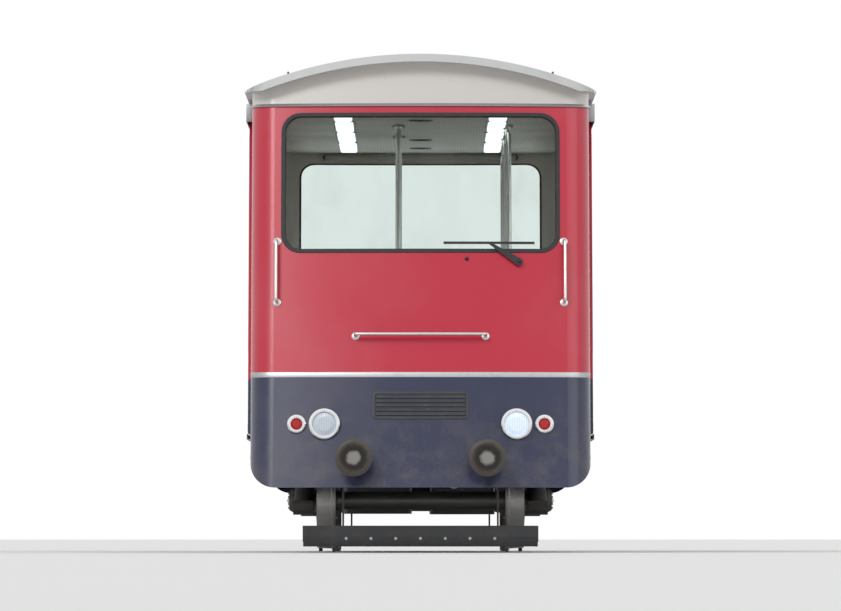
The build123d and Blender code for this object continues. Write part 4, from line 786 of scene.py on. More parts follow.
ZINC = BrushedMetal("zinc_fasteners", "pole_steel", (0.46, 0.46, 0.45), (4.0, 4.0, 4.0), 0.38)
RUBBER = BlackRubber("weathered_rubber", "rubber")
FLOOR = StuddedFloor("studded_floor_rubber", "floor_rubber")
WOOD = VarnishedWood("varnished_beech", "wood")
CEILING = CeilingLaminate("perforated_laminate", "ceiling_panel")
DESK = Moulding("grained_desk_plastic", "desk_plastic", (0.062, 0.066, 0.074))
BLACK_PLASTIC = Moulding("black_knob_plastic", "desk_plastic", (0.014, 0.014, 0.015), 0.30, depth=0.00006)
YELLOW = Moulding("yellow_edge_strip", "floor_rubber", (0.62, 0.36, 0.012), 0.55)
SIGNAL_RED = Moulding("red_enamel", "red_paint", (0.52, 0.014, 0.012), 0.24, depth=0.00004)
BLIND = Moulding("woven_blind_cloth", "desk_plastic", (0.36, 0.35, 0.31), 0.80, 0.0018, 0.0003)
GREEN = Moulding("green_knob_plastic", "desk_plastic", (0.02, 0.22, 0.06), 0.30, depth=0.00006)
GLASS = WindowGlass("clear_window_glass", "glass")
LENS = LampLens("fluted_lamp_glass", "lens")
DIFFUSER = LightStrip("milky_light_cover", "ceiling_panel")


# Modelling


class Pick(Enum):
    """What is picked in edit mode."""

    CORNERS = "VERT"
    FACES = "FACE"


class Workshop:
    """Blender's own modelling tools, used on one piece at a time as by hand."""

    @staticmethod
    def clear() -> None:
        """Leaves edit mode and lets go of everything."""
        active = bpy.context.view_layer.objects.active
        if active is not None and active.mode != "OBJECT":
            bpy.ops.object.mode_set(mode="OBJECT")
        bpy.ops.object.select_all(action="DESELECT")

    @classmethod
    def hold(cls, piece: Piece) -> None:
        """Selects one piece alone.

        Args:
            piece: The piece.
        """
        cls.clear()
        piece.select_set(True)
        bpy.context.view_layer.objects.active = piece

    @classmethod
    def open(cls, piece: Piece) -> None:
        """Takes one piece into edit mode."""
        cls.hold(piece)
        bpy.ops.object.mode_set(mode="EDIT")

    @staticmethod
    def pick(kind: Pick, wanted: Callable[[Vector], bool]) -> None:
        """Selects corners or faces by their place.

        Args:
            kind: What is picked.
            wanted: Tells from a corner's or face's middle whether it is picked.
        """
        bpy.ops.mesh.select_mode(type=kind.value)
        bpy.ops.mesh.select_all(action="DESELECT")
        mesh = bmesh.from_edit_mesh(bpy.context.object.data)
        found = [(v, v.co) for v in mesh.verts]
        if kind is Pick.FACES:
            found = [(f, f.calc_center_median()) for f in mesh.faces]
        for element in [element for element, middle in found if wanted(middle)]:
            element.select_set(True)
        mesh.select_flush_mode()
        bmesh.update_edit_mesh(bpy.context.object.data)

    @classmethod
    def primitive(cls, name: str, add: Callable[..., object], **how: object) -> Piece:
        """Adds a primitive, with its place and size in its mesh.

        Args:
            name: The piece's name.
            add: The operator that adds it.
            how: The operator's arguments.

        Returns:
            The piece.
        """
        cls.clear()
        add(**how)
        piece = bpy.context.object
        piece.name = name
        bpy.ops.object.transform_apply(location=True, rotation=True, scale=True)
        return piece

    @classmethod
    def smooth(cls, piece: Piece) -> Piece:
        """Smooths what isn't an edge.

        Args:
            piece: The piece.

        Returns:
            The piece.
        """
        cls.hold(piece)
        bpy.ops.object.shade_smooth_by_angle(angle=CREASE_ANGLE)
        return piece

    @classmethod
    def settle(cls, piece: Piece) -> Piece:
        """Merges doubles, turns faces outwards and smooths what isn't an edge.

        Args:
            piece: The piece.

        Returns:
            The piece.
        """
        cls.open(piece)
        bpy.ops.mesh.select_all(action="SELECT")
        bpy.ops.mesh.remove_doubles(threshold=TOUCH)
        bpy.ops.mesh.normals_make_consistent(inside=False)
        return cls.smooth(piece)

    @classmethod
    def block(cls, name: str, low: Sequence[float], high: Sequence[float], edge: float = 2.0) -> Piece:
        """A block between two corners, its edges rounded by a Bevel modifier.

        Args:
            name: The piece's name.
            low: Its lowest corner.
            high: Its highest corner.
            edge: Radius of its edges.

        Returns:
            The piece.
        """
        low, high = Vector(low), Vector(high)
        place = {"location": (low + high) / 2, "scale": tuple(high - low)}
        piece = cls.primitive(name, bpy.ops.mesh.primitive_cube_add, size=1.0, **place)
        cls.hold(piece)
        bevel = piece.modifiers.new("edges", "BEVEL")
        bevel.width, bevel.segments = edge * MM, 2
        bevel.limit_method, bevel.angle_limit = "ANGLE", BEVEL_ANGLE
        bpy.ops.object.modifier_apply(modifier=bevel.name)
        return cls.smooth(piece)

    @classmethod
    def sweep(
        cls, name: str, section: Section, path: Sequence[Vector], out: Ways, up: Vector | None = None,
        closed: bool = False,
    ) -> Piece:
        """Draws a flat section along a path, one mitred length at a time.

        Args:
            name: The piece's name.
            section: Its corners, as distances outwards and across the path.
            path: The points it follows.
            out: The way outwards, for the whole path or at each point.
            up: Which of the two ways across the path counts as onwards, where that matters.
            closed: Whether the path comes back to its start.

        Returns:
            The piece.
        """
        outs = [out] * len(path) if isinstance(out, Vector) else out
        loops = []
        for i, point in enumerate(path):
            before = (point - path[i - 1]).normalized() if i or closed else None
            after = (path[(i + 1) % len(path)] - point).normalized() if i < len(path) - 1 or closed else None
            before, after = before or after, after or before
            ahead = (before + after).normalized()
            first = (outs[i] - ahead * outs[i].dot(ahead)).normalized()
            second = ahead.cross(first)
            if up is not None and second.dot(up) < 0:
                second = -second
            bend = before.cross(after)
            side = ahead.cross(bend).normalized() if bend.length > 1e-6 else Vector()
            stretch = 1.0 / max(0.35, math.cos(before.angle(after) / 2)) - 1.0
            shifts = [(first * a + second * b) * MM for a, b in section]
            loops.append([point + shift + side * shift.dot(side) * stretch for shift in shifts])
        start = {"vertices": len(section), "radius": 0.01, "fill_type": "NGON"}
        piece = cls.primitive(name, bpy.ops.mesh.primitive_circle_add, **start)
        cls.open(piece)
        mesh = bmesh.from_edit_mesh(piece.data)
        for corner, place in zip(list(mesh.verts), loops[0]):
            corner.co = place
        bpy.ops.mesh.select_mode(type="FACE")
        bpy.ops.mesh.select_all(action="SELECT")
        for earlier, loop in zip(loops, loops[1:]):
            bpy.ops.mesh.extrude_region_move()
            mesh = bmesh.from_edit_mesh(piece.data)
            for corner in [v for v in mesh.verts if v.select]:
                corner.co = loop[min(range(len(loop)), key=lambda k: (earlier[k] - corner.co).length_squared)]
            bmesh.update_edit_mesh(piece.data)
        if closed:
            caps = [sum(loop, Vector()) / len(section) for loop in (loops[0], loops[-1])]
            cls.pick(Pick.FACES, lambda middle: min((middle - cap).length for cap in caps) < TOUCH)
            bpy.ops.mesh.bridge_edge_loops()
        return cls.settle(piece)

    @classmethod
    def ring(cls, name: str, section: Section, path: Sequence[Vector], out: Ways) -> Piece:
        """Draws a section round a closed path, its second axis facing the middle of the ring.

        Args:
            name: The piece's name.
            section: Its corners, as distances outwards and across the path.
            path: The points it follows.
            out: The way outwards, for the whole path or at each point.

        Returns:
            The piece.
        """
        outs = [out] * len(path) if isinstance(out, Vector) else out
        middle = sum(path, Vector()) / len(path)
        if (path[1] - path[0]).cross(outs[0]).dot(middle - path[0]) < 0:
            path, outs = path[::-1], outs[::-1]
        return cls.sweep(name, section, path, outs, closed=True)

    @classmethod
    def pipe(
        cls, name: str, corners: Sequence[Vector], radius: float, bend: float = 10.0, sides: int = 12
    ) -> Piece:
        """A round bar or pipe with even bends.

        Args:
            name: The piece's name.
            corners: The points its middle line turns at, from end to end.
            radius: Its radius.
            bend: Radius of its bends.
            sides: How many sides it has.

        Returns:
            The piece.
        """
        path = rounded(corners, bend, 6, closed=False) if len(corners) > 2 else corners
        turns = [t * math.tau / sides for t in range(sides)]
        section = [(radius * math.cos(turn), radius * math.sin(turn)) for turn in turns]
        bends = [(b - a).cross(c - b) for a, b, c in zip(corners, corners[1:], corners[2:])]
        normal = next((n for n in bends if n.length > 1e-9), (corners[1] - corners[0]).orthogonal())
        return cls.sweep(name, section, path, normal.normalized())

    @classmethod
    def turned(
        cls, name: str, profile: Section, centre: Sequence[float], axis: Sequence[float], steps: int = 24
    ) -> Piece:
        """Spins a profile round an axis. A profile that isn't a ring is closed on the axis.

        Args:
            name: The piece's name.
            profile: Its corners, as distances along the axis and from it.
            centre: Where the axis starts.
            axis: The way of the axis.
            steps: How many steps the turn has.

        Returns:
            The piece.
        """
        centre, axis = Vector(centre), Vector(axis).normalized()
        side = axis.orthogonal().normalized()
        if tuple(profile[0]) != tuple(profile[-1]):
            ends = [[(end[0], 0.0)] if end[1] > 0 else [] for end in (profile[0], profile[-1])]
            profile = [*ends[0], *profile, *ends[1]]
        places = [centre + (axis * a + side * r) * MM for a, r in profile]
        piece = cls.primitive(name, bpy.ops.mesh.primitive_plane_add, size=0.01)
        cls.open(piece)
        bpy.ops.mesh.select_mode(type="VERT")
        mesh = bmesh.from_edit_mesh(piece.data)
        mesh.verts.ensure_lookup_table()
        kept = mesh.verts[0].co.copy()
        cls.pick(Pick.CORNERS, lambda place: (place - kept).length > 1e-4)
        bpy.ops.mesh.delete(type="VERT")
        bpy.ops.mesh.select_all(action="SELECT")
        bpy.ops.transform.translate(value=places[0] - kept)
        for here, there in zip(places, places[1:]):
            bpy.ops.mesh.extrude_region_move(TRANSFORM_OT_translate={"value": there - here})
        bpy.ops.mesh.select_all(action="SELECT")
        bpy.ops.mesh.spin(steps=steps, angle=math.tau, center=centre, axis=axis)
        return cls.settle(piece)

    @classmethod
    def repeat(cls, pattern: Piece, places: Iterable[Matrix]) -> list[Piece]:
        """Copies a pattern, each copy with its own mesh, to several places.

        Args:
            pattern: What is copied. It is used up.
            places: Where each copy goes.

        Returns:
            The copies.
        """
        copies = []
        for place in places:
            copy = pattern.copy()
            copy.data = pattern.data.copy()
            copy.data.transform(place)
            bpy.context.scene.collection.objects.link(copy)
            copies.append(copy)
        cls.clear()
        bpy.data.objects.remove(pattern)
        return copies

    @classmethod
    def mount(
        cls, name: str, pieces: Piece | Sequence[Piece], finish: Finish, body: str = "body_shell"
    ) -> None:
        """Joins finished pieces, dresses them, makes them ride on their body, and reports them.

        Args:
            name: Their name.
            pieces: One piece, or several of one finish.
            finish: Their finish.
            body: The body they ride on.
        """
        pieces = [pieces] if isinstance(pieces, Piece) else pieces
        cls.clear()
        for part in pieces:
            part.select_set(True)
        piece = bpy.context.view_layer.objects.active = pieces[0]
        if len(pieces) > 1:
            bpy.ops.object.join()
        piece.name = name
        finish.dress(piece)
        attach(piece, body)
        LOG.info("%s: %s on %s, %d faces", name, finish.name, body, len(piece.data.polygons))

    @classmethod
    def runs(
        cls, name: str, section: Section, lines: Iterable[Sequence[Vector]], out: Ways, finish: Finish,
        up: Vector | None = None, body: str = "body_shell",
    ) -> None:
        """Mounts one section drawn along several lines, each as sweep draws it."""
        cls.mount(name, [cls.sweep("run", section, line, out, up) for line in lines], finish, body)

    @classmethod
    def lathe(
        cls, name: str, profile: Section, spots: Iterable[tuple[Sequence[float], Vector]], finish: Finish,
        steps: int = 24,
    ) -> None:
        """Mounts one profile turned at several spots, which say where each axis starts and its way."""
        cls.mount(name, [cls.turned("turned", profile, foot, way, steps) for foot, way in spots], finish)

    @classmethod
    def screws(
        cls, name: str, spots: Iterable[tuple[Vector, Vector]], radius: float, height: float,
        body: str = "body_shell", finish: Finish | None = None, hexagon: bool = False,
    ) -> None:
        """Mounts domed screw heads at several spots, each facing its own way.

        Args:
            name: The joined piece's name.
            spots: Each head's foot and the way it faces.
            radius: A head's radius.
            height: How far a head stands out.
            body: The body they ride on.
            finish: Their finish, which is zinc where none is given.
            hexagon: Whether they are bolts on washers instead of domed screws.
        """
        r, h = radius, height
        domed = [(0, r), (0.45 * h, 0.93 * r), (0.85 * h, 0.62 * r), (h, 0)]
        bolt = [(0, 1.5 * r), (0.22 * h, 1.5 * r), (0.22 * h, r), (0.86 * h, r), (h, 0.8 * r), (h, 0)]
        pattern = cls.turned("head", bolt if hexagon else domed, (0, 0, 0), (0, 0, 1), 6 if hexagon else 8)
        turns = [(foot, facing.to_track_quat("Z", "Y").to_matrix().to_4x4()) for foot, facing in spots]
        heads = cls.repeat(pattern, [Matrix.Translation(foot) @ turn for foot, turn in turns])
        cls.mount(name, heads, finish or ZINC, body)

    @classmethod
    def bolts(cls, *how: object) -> None:
        """Mounts hexagon bolts on washers, as screws are."""
        cls.screws(*how, hexagon=True)


def rounded(corners: Sequence[Vector], radius: float, steps: int = 5, closed: bool = True) -> list[Vector]:
    """A line whose corners are arcs.

    Args:
        corners: The line's corners.
        radius: Radius of the arcs.
        steps: How many steps an arc has.
        closed: Whether the line comes back to its start.

    Returns:
        The line's points.
    """
    line, radius = [], radius * MM
    for i, corner in enumerate(corners):
        back = (corners[i - 1] - corner).normalized()
        onward = (corners[(i + 1) % len(corners)] - corner).normalized()
        half = back.angle(onward) / 2
        if half > 1.5 or not closed and i in (0, len(corners) - 1):
            line.append(corner.copy())
            continue
        centre = corner + (back + onward).normalized() * radius / math.sin(half)
        start = corner + back * radius / math.tan(half) - centre
        stop = corner + onward * radius / math.tan(half) - centre
        turn = start.angle(stop)
        for share in (step / steps for step in range(steps + 1)):
            arm = (start * math.sin((1 - share) * turn) + stop * math.sin(share * turn)) / math.sin(turn)
            line.append(centre + arm)
    return line


def divided(line: Sequence[Vector], longest: float) -> list[Vector]:
    """A closed line with no run longer than a limit.

    Args:
        line: The line's points.
        longest: The limit in metres.

    Returns:
        The new points.
    """
    points = []
    for i, here in enumerate(line):
        there = line[(i + 1) % len(line)]
        parts = math.ceil((there - here).length / longest)
        points += [here.copy()] + [here.lerp(there, part / parts) for part in range(1, parts)]
    return points


def oblong(left: float, right: float, low: float, high: float) -> list[tuple[float, float]]:
    """Corners of an upright rectangle."""
    return [(left, low), (right, low), (right, high), (left, high)]


def mirrored(*half: tuple[float, float]) -> list[tuple[float, float]]:
    """A section from its lower half, which ends before the middle."""
    return [*half, *((a, -b) for a, b in reversed(half))]


# The car's own shape


@dataclass(frozen=True)
class CarShape:
    """The body's lines: plumb on the slope, bowed at the ends."""

    slope: float = math.radians(15.0)
    pitch: float = 1.44
    level_height: float = 1.834871
    nosing: float = 1.119742
    half_width: float = 1.100
    wall: float = 0.060
    joint: float = 3.360
    skirt: float = 0.600
    waist: float = 1.149742
    window: tuple[float, float] = (1.939742, 2.829742)
    window_corner: float = 70.0
    screen: tuple[float, float] = (1.959742, 2.849742)
    cantrail: float = 2.918
    ceiling: float = 2.924742
    eaves: float = 3.009742
    bow_radius: float = 5.555
    bow_centre: float = -1.967667
    corner: float = 0.180
    windows: tuple[tuple[float, float], ...] = ((-3.24, -2.06), (-0.82, -0.035), (0.035, 0.82), (2.06, 3.24))
    doorways: tuple[float, float] = (-1.44, 1.44)

    def lean(self, height: float) -> float:
        """How far uphill a plumb line has moved at this height."""
        return (height - self.level_height) * math.tan(self.slope)

    def plumb(self) -> Vector:
        """The way plumb upwards."""
        return Vector((0.0, math.sin(self.slope), math.cos(self.slope)))

    def level(self) -> Vector:
        """The way level uphill."""
        return Vector((0.0, math.cos(self.slope), -math.sin(self.slope)))

    def station(self, terrace: float) -> float:
        """The riser line in front of a terrace."""
        return terrace * self.pitch - 2.5 * self.pitch

    def tread(self, terrace: int, along: float) -> float:
        """Height of a terrace's tread at this station."""
        return self.nosing - (along - self.station(terrace)) * math.sin(self.slope) * math.cos(self.slope)

    def spot(self, x: float, along: float, height: float) -> Vector:
        """A point at this distance to the right, station and height."""
        return Vector((x, along + self.lean(height), height))

    def run(self, x: float, low: float, high: float, height: float) -> list[Vector]:
        """A line along a side at one height, between two stations."""
        return [self.spot(x, low, height), self.spot(x, high, height)]

    def post(self, x: float, along: float, bottom: float, top: float) -> list[Vector]:
        """A plumb line on a side at one station."""
        return [self.spot(x, along, bottom), self.spot(x, along, top)]

    def panel(self, x: float, low: float, high: float, bottom: float, top: float) -> list[Vector]:
        """Corners of a panel with plumb ends at two stations."""
        return [self.spot(x, along, height) for along, height in oblong(low, high, bottom, top)]

    def on_terrace(self, terrace: int, station: float, x: float, along: float, up: float) -> Vector:
        """A point over a tread: level distance uphill of a station, and plumb height over the tread."""
        foot = self.spot(x, station, self.tread(terrace, station))
        return foot + self.level() * along + self.plumb() * up

    def nose(self, end: End, x: float, height: float, out: float = 0.0) -> Vector:
        """A point on the bowed skin of one end, or out from it.

        Args:
            end: Which end.
            x: Distance to the right.
            height: Height over the foot of the wheels.
            out: Distance out from the skin.

        Returns:
            The point.
        """
        rise = math.sqrt(self.bow_radius**2 - x**2)
        y = end.value * (self.bow_centre + rise) / math.cos(self.slope) + self.lean(height)
        return Vector((x, y, height)) + self.nose_out(end, x) * out

    def nose_out(self, end: End, x: float) -> Vector:
        """The way out of the bowed skin."""
        rise = math.sqrt(self.bow_radius**2 - x**2)
        return (Vector((x, 0, 0)) + self.level() * end.value * rise) / self.bow_radius

    def bowed(
        self, end: End, half: float, heights: tuple[float, float], corner: float, steps: int, longest: float
    ) -> tuple[list[Vector], list[Vector]]:
        """A round-cornered outline on the bowed skin.

        Args:
            end: Which end.
            half: Half its width.
            heights: Its bottom and top.
            corner: Radius of its corners.
            steps: How many steps a corner has.
            longest: The longest run it may have.

        Returns:
            Its points, and the way out at each.
        """
        flat = [Vector((x, 0, z)) for x, z in oblong(-half, half, *heights)]
        line = divided(rounded(flat, corner, steps), longest)
        return [self.nose(end, p.x, p.z) for p in line], [self.nose_out(end, p.x) for p in line]

    def round_end(self, end: End, height: float, start: float) -> tuple[list[Vector], list[Vector]]:
        """The skin's line round one end at this height.

        Args:
            end: Which end.
            height: Height over the foot of the wheels.
            start: Station on the sides that the line starts and stops at.

        Returns:
            The points from left to right, and the way out at each.
        """
        inner, reach = self.half_width - self.corner, self.bow_radius - self.corner
        corner_y = self.bow_centre + math.sqrt(reach**2 - inner**2)
        tangent = math.atan2(corner_y - self.bow_centre, inner)
        half = [(self.half_width, start * math.cos(self.slope), 0.0)]
        turns = [tangent * step / 6 for step in range(7)]
        arcs = [(inner, corner_y, self.corner, turns)]
        turns = [tangent + (math.pi / 2 - tangent) * step / 10 for step in range(1, 10)]
        arcs.append((0.0, self.bow_centre, self.bow_radius, turns))
        for x, y, radius, turns in arcs:
            half += [(x + radius * math.cos(turn), y + radius * math.sin(turn), turn) for turn in turns]
        centre = (0.0, self.bow_centre + self.bow_radius, math.pi / 2)
        line = [(-x, y, math.pi - turn) for x, y, turn in half] + [centre] + half[::-1]
        scale = math.cos(self.slope)
        points = [Vector((x, end.value * y / scale + self.lean(height), height)) for x, y, _ in line]
        onward = self.level() * end.value
        return points, [Vector((math.cos(turn), 0, 0)) + onward * math.sin(turn) for _, _, turn in line]


class Place(Enum):
    """A side or an end of the car, which pieces are named after."""

    def __str__(self) -> str:
        """Its name in lower case."""
        return self.name.lower()


class Side(Place):
    """The car's two sides."""

    LEFT = -1
    RIGHT = 1

    @property
    def out(self) -> Vector:
        """The way out of this side."""
        return Vector((self.value, 0, 0))


class End(Place):
    """The car's two ends."""

    DOWNHILL = -1
    UPHILL = 1

    @property
    def out(self) -> Vector:
        """The way out of this end, along the car."""
        return Vector((0, self.value, 0))

    @property
    def terrace(self) -> int:
        """The terrace at this end."""
        return 2 + 2 * self.value


CAR = CarShape()
UP = Vector((0, 0, 1))


def circle(centre: Vector, across: Vector, radius: float, count: int, start: float = 0.5) -> list[Vector]:
    """Evenly spaced points on an upright circle, the first at this share of the way to the second."""
    turns = [math.tau * (number + start) / count for number in range(count)]
    return [centre + (across * math.cos(turn) + UP * math.sin(turn)) * radius for turn in turns]


def seal(depth: float, proud: float, cover: float) -> Section:
    """Section of a window rubber: a leg this deep to the glass, and a lip this proud that covers the skin."""
    leg = [(-depth, 0.3), (-depth, 12), (0, 12), (proud, 8)]
    return [*leg, (proud, 2 - cover), (proud * 0.5, -cover), (0.2, -cover), (0.2, 0.3)]


# Sub-assemblies


@dataclass(frozen=True)
class SideTrim(Workshop):
    """Beading, cover strips, gutters, sill plates and hatches of the sides."""

    skin: float = CAR.half_width + 0.0001
    screw_pitch: float = 0.125
    doorway: float = 1.0
    track: tuple[float, float] = (2.8652, 2.9847)
    track_half: float = 1.065
    plate: float = 0.003

    def build(self) -> None:
        """Makes all of it for both sides."""
        for side in Side:
            self.waist_band(side)
            self.cover_strips(side)
            self.gutter(side)
            self.skirt_rail(side)
            self.sill_plates(side)
            self.track_ends(side)
            self.hatch(side)

    def waist_band(self, side: Side) -> None:
        """Flat beading over the colour split, broken at the doorways.

        Args:
            side: Which side.
        """
        runs = ((-CAR.joint, -1.95), (-0.93, 0.93), (1.95, CAR.joint))
        lines = [CAR.run(side.value * self.skin, low, high, CAR.waist) for low, high in runs]
        section = mirrored((0, -17), (1.75, -17), (2.5, -15))
        self.runs(f"waist_band_{side}", section, lines, side.out, ALUMINIUM)

    def cover_strips(self, side: Side) -> None:
        """Cover strips over the plumb panel joints, held by two rows of screws.

        Args:
            side: Which side.
        """
        x, lines, spots = side.value * self.skin, [], []
        face = x + side.value * 0.0012
        for along in (-CAR.joint, CAR.joint):
            for bottom, top in ((CAR.skirt, CAR.waist - 0.018), (CAR.waist + 0.018, CAR.eaves)):
                lines.append(CAR.post(x, along, bottom, top))
                rows = int((top - bottom) / self.screw_pitch)
                for height in (bottom + 0.03 + row * (top - bottom - 0.06) / rows for row in range(rows + 1)):
                    spots += [CAR.spot(face, along + way, height) for way in (-0.013, 0.013)]
        self.runs(f"joint_covers_{side}", mirrored((0, -21), (1.2, -19)), lines, side.out, PAINT)
        for along in (tenth / 10 for tenth in range(-32, 33, 4)):
            if min(abs(along - middle) for middle in CAR.doorways) > 0.56:
                spots.append(CAR.spot(x, along, CAR.skirt + 0.045))
        self.screws(f"panel_screws_{side}", [(spot, side.out) for spot in spots], 5.5, 1.6)

    def gutter(self, side: Side) -> None:
        """Rain gutter along the roof's edge, an open channel.

        Args:
            side: Which side.
        """
        section = [(0, 1), (10, 1), (12.5, 4), (12.5, 22), (10.5, 22), (10.5, 5), (9, 3), (0, 3)]
        line = CAR.run(side.value * 1.1401, -3.33, 3.33, CAR.eaves)
        self.runs(f"gutter_{side}", section, [line], side.out, ROOF, UP)

    def skirt_rail(self, side: Side) -> None:
        """Rubbing rail along the foot of the lower panels."""
        line = CAR.run(side.value * self.skin, -CAR.joint, CAR.joint, 0.616)
        self.runs(f"rubbing_rail_{side}", mirrored((0, -12), (1.8, -12), (2.6, -8)), [line], side.out, RUBBER)

    def sill_plates(self, side: Side) -> None:
        """Ribbed tread plates on the two doorway sills.

        Args:
            side: Which side.
        """
        section = [(0.2, 0)]
        for rib in range(6):
            section += [(4, 2 + rib * 9), (4, 7 + rib * 9), (2.2, 8 + rib * 9)]
        section.append((0.2, 56))
        x, reach, lines = side.value * (CAR.half_width - 0.058), self.doorway / 2 - 0.003, []
        for terrace, middle in zip((1, 3), CAR.doorways):
            ends = (middle - reach, middle + reach)
            lines.append([CAR.spot(x, along, CAR.tread(terrace, along)) for along in ends])
        self.runs(f"sill_plates_{side}", section, lines, CAR.plumb(), ALUMINIUM, side.out)

    def track_ends(self, side: Side) -> None:
        """Pressed plates that close the ends of the door rails' covers, each held by two screws.

        Args:
            side: Which side.
        """
        low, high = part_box(f"door_tracks_{side}")
        outer, (bottom, top) = max(abs(low.x), abs(high.x)), self.track
        plates, spots = [], []
        for middle, end in product(CAR.doorways, End):
            face = middle + CAR.lean(top) + end.value * self.track_half
            xs = sorted((side.value * (CAR.half_width + 0.0005), side.value * outer))
            ys = sorted((face, face + end.value * self.plate))
            plates.append(self.block("plate", (xs[0], ys[0], bottom), (xs[1], ys[1], top), 1.2))
            for height in (bottom + 0.022, top - 0.022):
                x = side.value * (CAR.half_width + 0.030)
                spots.append((Vector((x, face + end.value * self.plate, height)), end.out))
        self.mount(f"track_end_plates_{side}", plates, ALUMINIUM)
        self.screws(f"track_end_screws_{side}", spots, 5.5, 1.8)

    def hatch(self, side: Side) -> None:
        """Louvred hatch in the middle of the lower panel, with two quarter-turn locks.

        Args:
            side: Which side.
        """
        x = side.value * self.skin
        path = rounded(CAR.panel(x, -0.34, 0.34, 0.72, 1.04), 30)
        parts = [self.ring("frame", [(0, -6), (2.2, -5), (2.6, 0), (2.2, 12), (0, 14)], path, side.out)]
        hood = [(0, -10), (2.6, -10), (2.6, -6), (0.6, 12), (0, 12)]
        for louvre in range(5):
            line = CAR.run(x, -0.26, 0.26, 0.79 + louvre * 0.045)
            parts.append(self.sweep("louvre", hood, line, side.out, UP))
        self.mount(f"service_hatch_{side}", parts, PAINT)
        spots = [(spot, side.out) for spot in CAR.run(x, -0.27, 0.27, 1.01)]
        self.screws(f"hatch_locks_{side}", spots, 13, 2.6, finish=STAINLESS)


@dataclass(frozen=True)
class Windows(Workshop):
    """Rubber sections round the side windows and windscreens, and the opening lights' bars."""

    bar_height: float = 2.56
    pane: float = CAR.half_width - 0.0178

    def build(self) -> None:
        """Makes the rubbers and bars of both sides and both ends."""
        frame = [(0.2, 6), (4, 4), (6, -4), (6, -22), (4, -26), (0.2, -26)]
        inner = CAR.half_width - CAR.wall
        for side in Side:
            for name, x, section, out, finish in (
                ("window_rubbers", CAR.half_width, seal(17.6, 2.5, 10), side.out, RUBBER),
                ("inner_window_frames", inner, frame, -side.out, STAINLESS),
            ):
                rings = []
                for window in CAR.windows:
                    line = rounded(CAR.panel(side.value * x, *window, *CAR.window), CAR.window_corner)
                    rings.append(self.ring("ring", section, line, out))
                self.mount(f"{name}_{side}", rings, finish)
            self.bars(side)
        for end in End:
            path, outs = CAR.bowed(end, 0.890, CAR.screen, 110, 7, 0.16)
            self.mount(f"windscreen_rubber_{end}", self.ring("ring", seal(17.6, 6, 16), path, outs), RUBBER)

    def bars(self, side: Side) -> None:
        """Bar and two catches of the opening light over each window.

        Args:
            side: Which side.
        """
        bars, x, half = [], side.value * self.pane, Vector((0.012, 0.03, 0.009))
        section = mirrored((0, -14), (9, -14), (13, -9))
        for low, high in CAR.windows:
            line = CAR.run(x, low + 0.011, high - 0.011, self.bar_height)
            bars.append(self.sweep("bar", section, line, side.out))
            for along in (low + (high - low) * share for share in (0.25, 0.75)):
                foot = CAR.spot(x - side.value * 0.0185, along, self.bar_height + 0.02)
                bars.append(self.block("catch", foot - half, foot + half, 4))
        self.mount(f"opening_light_bars_{side}", bars, ALUMINIUM)


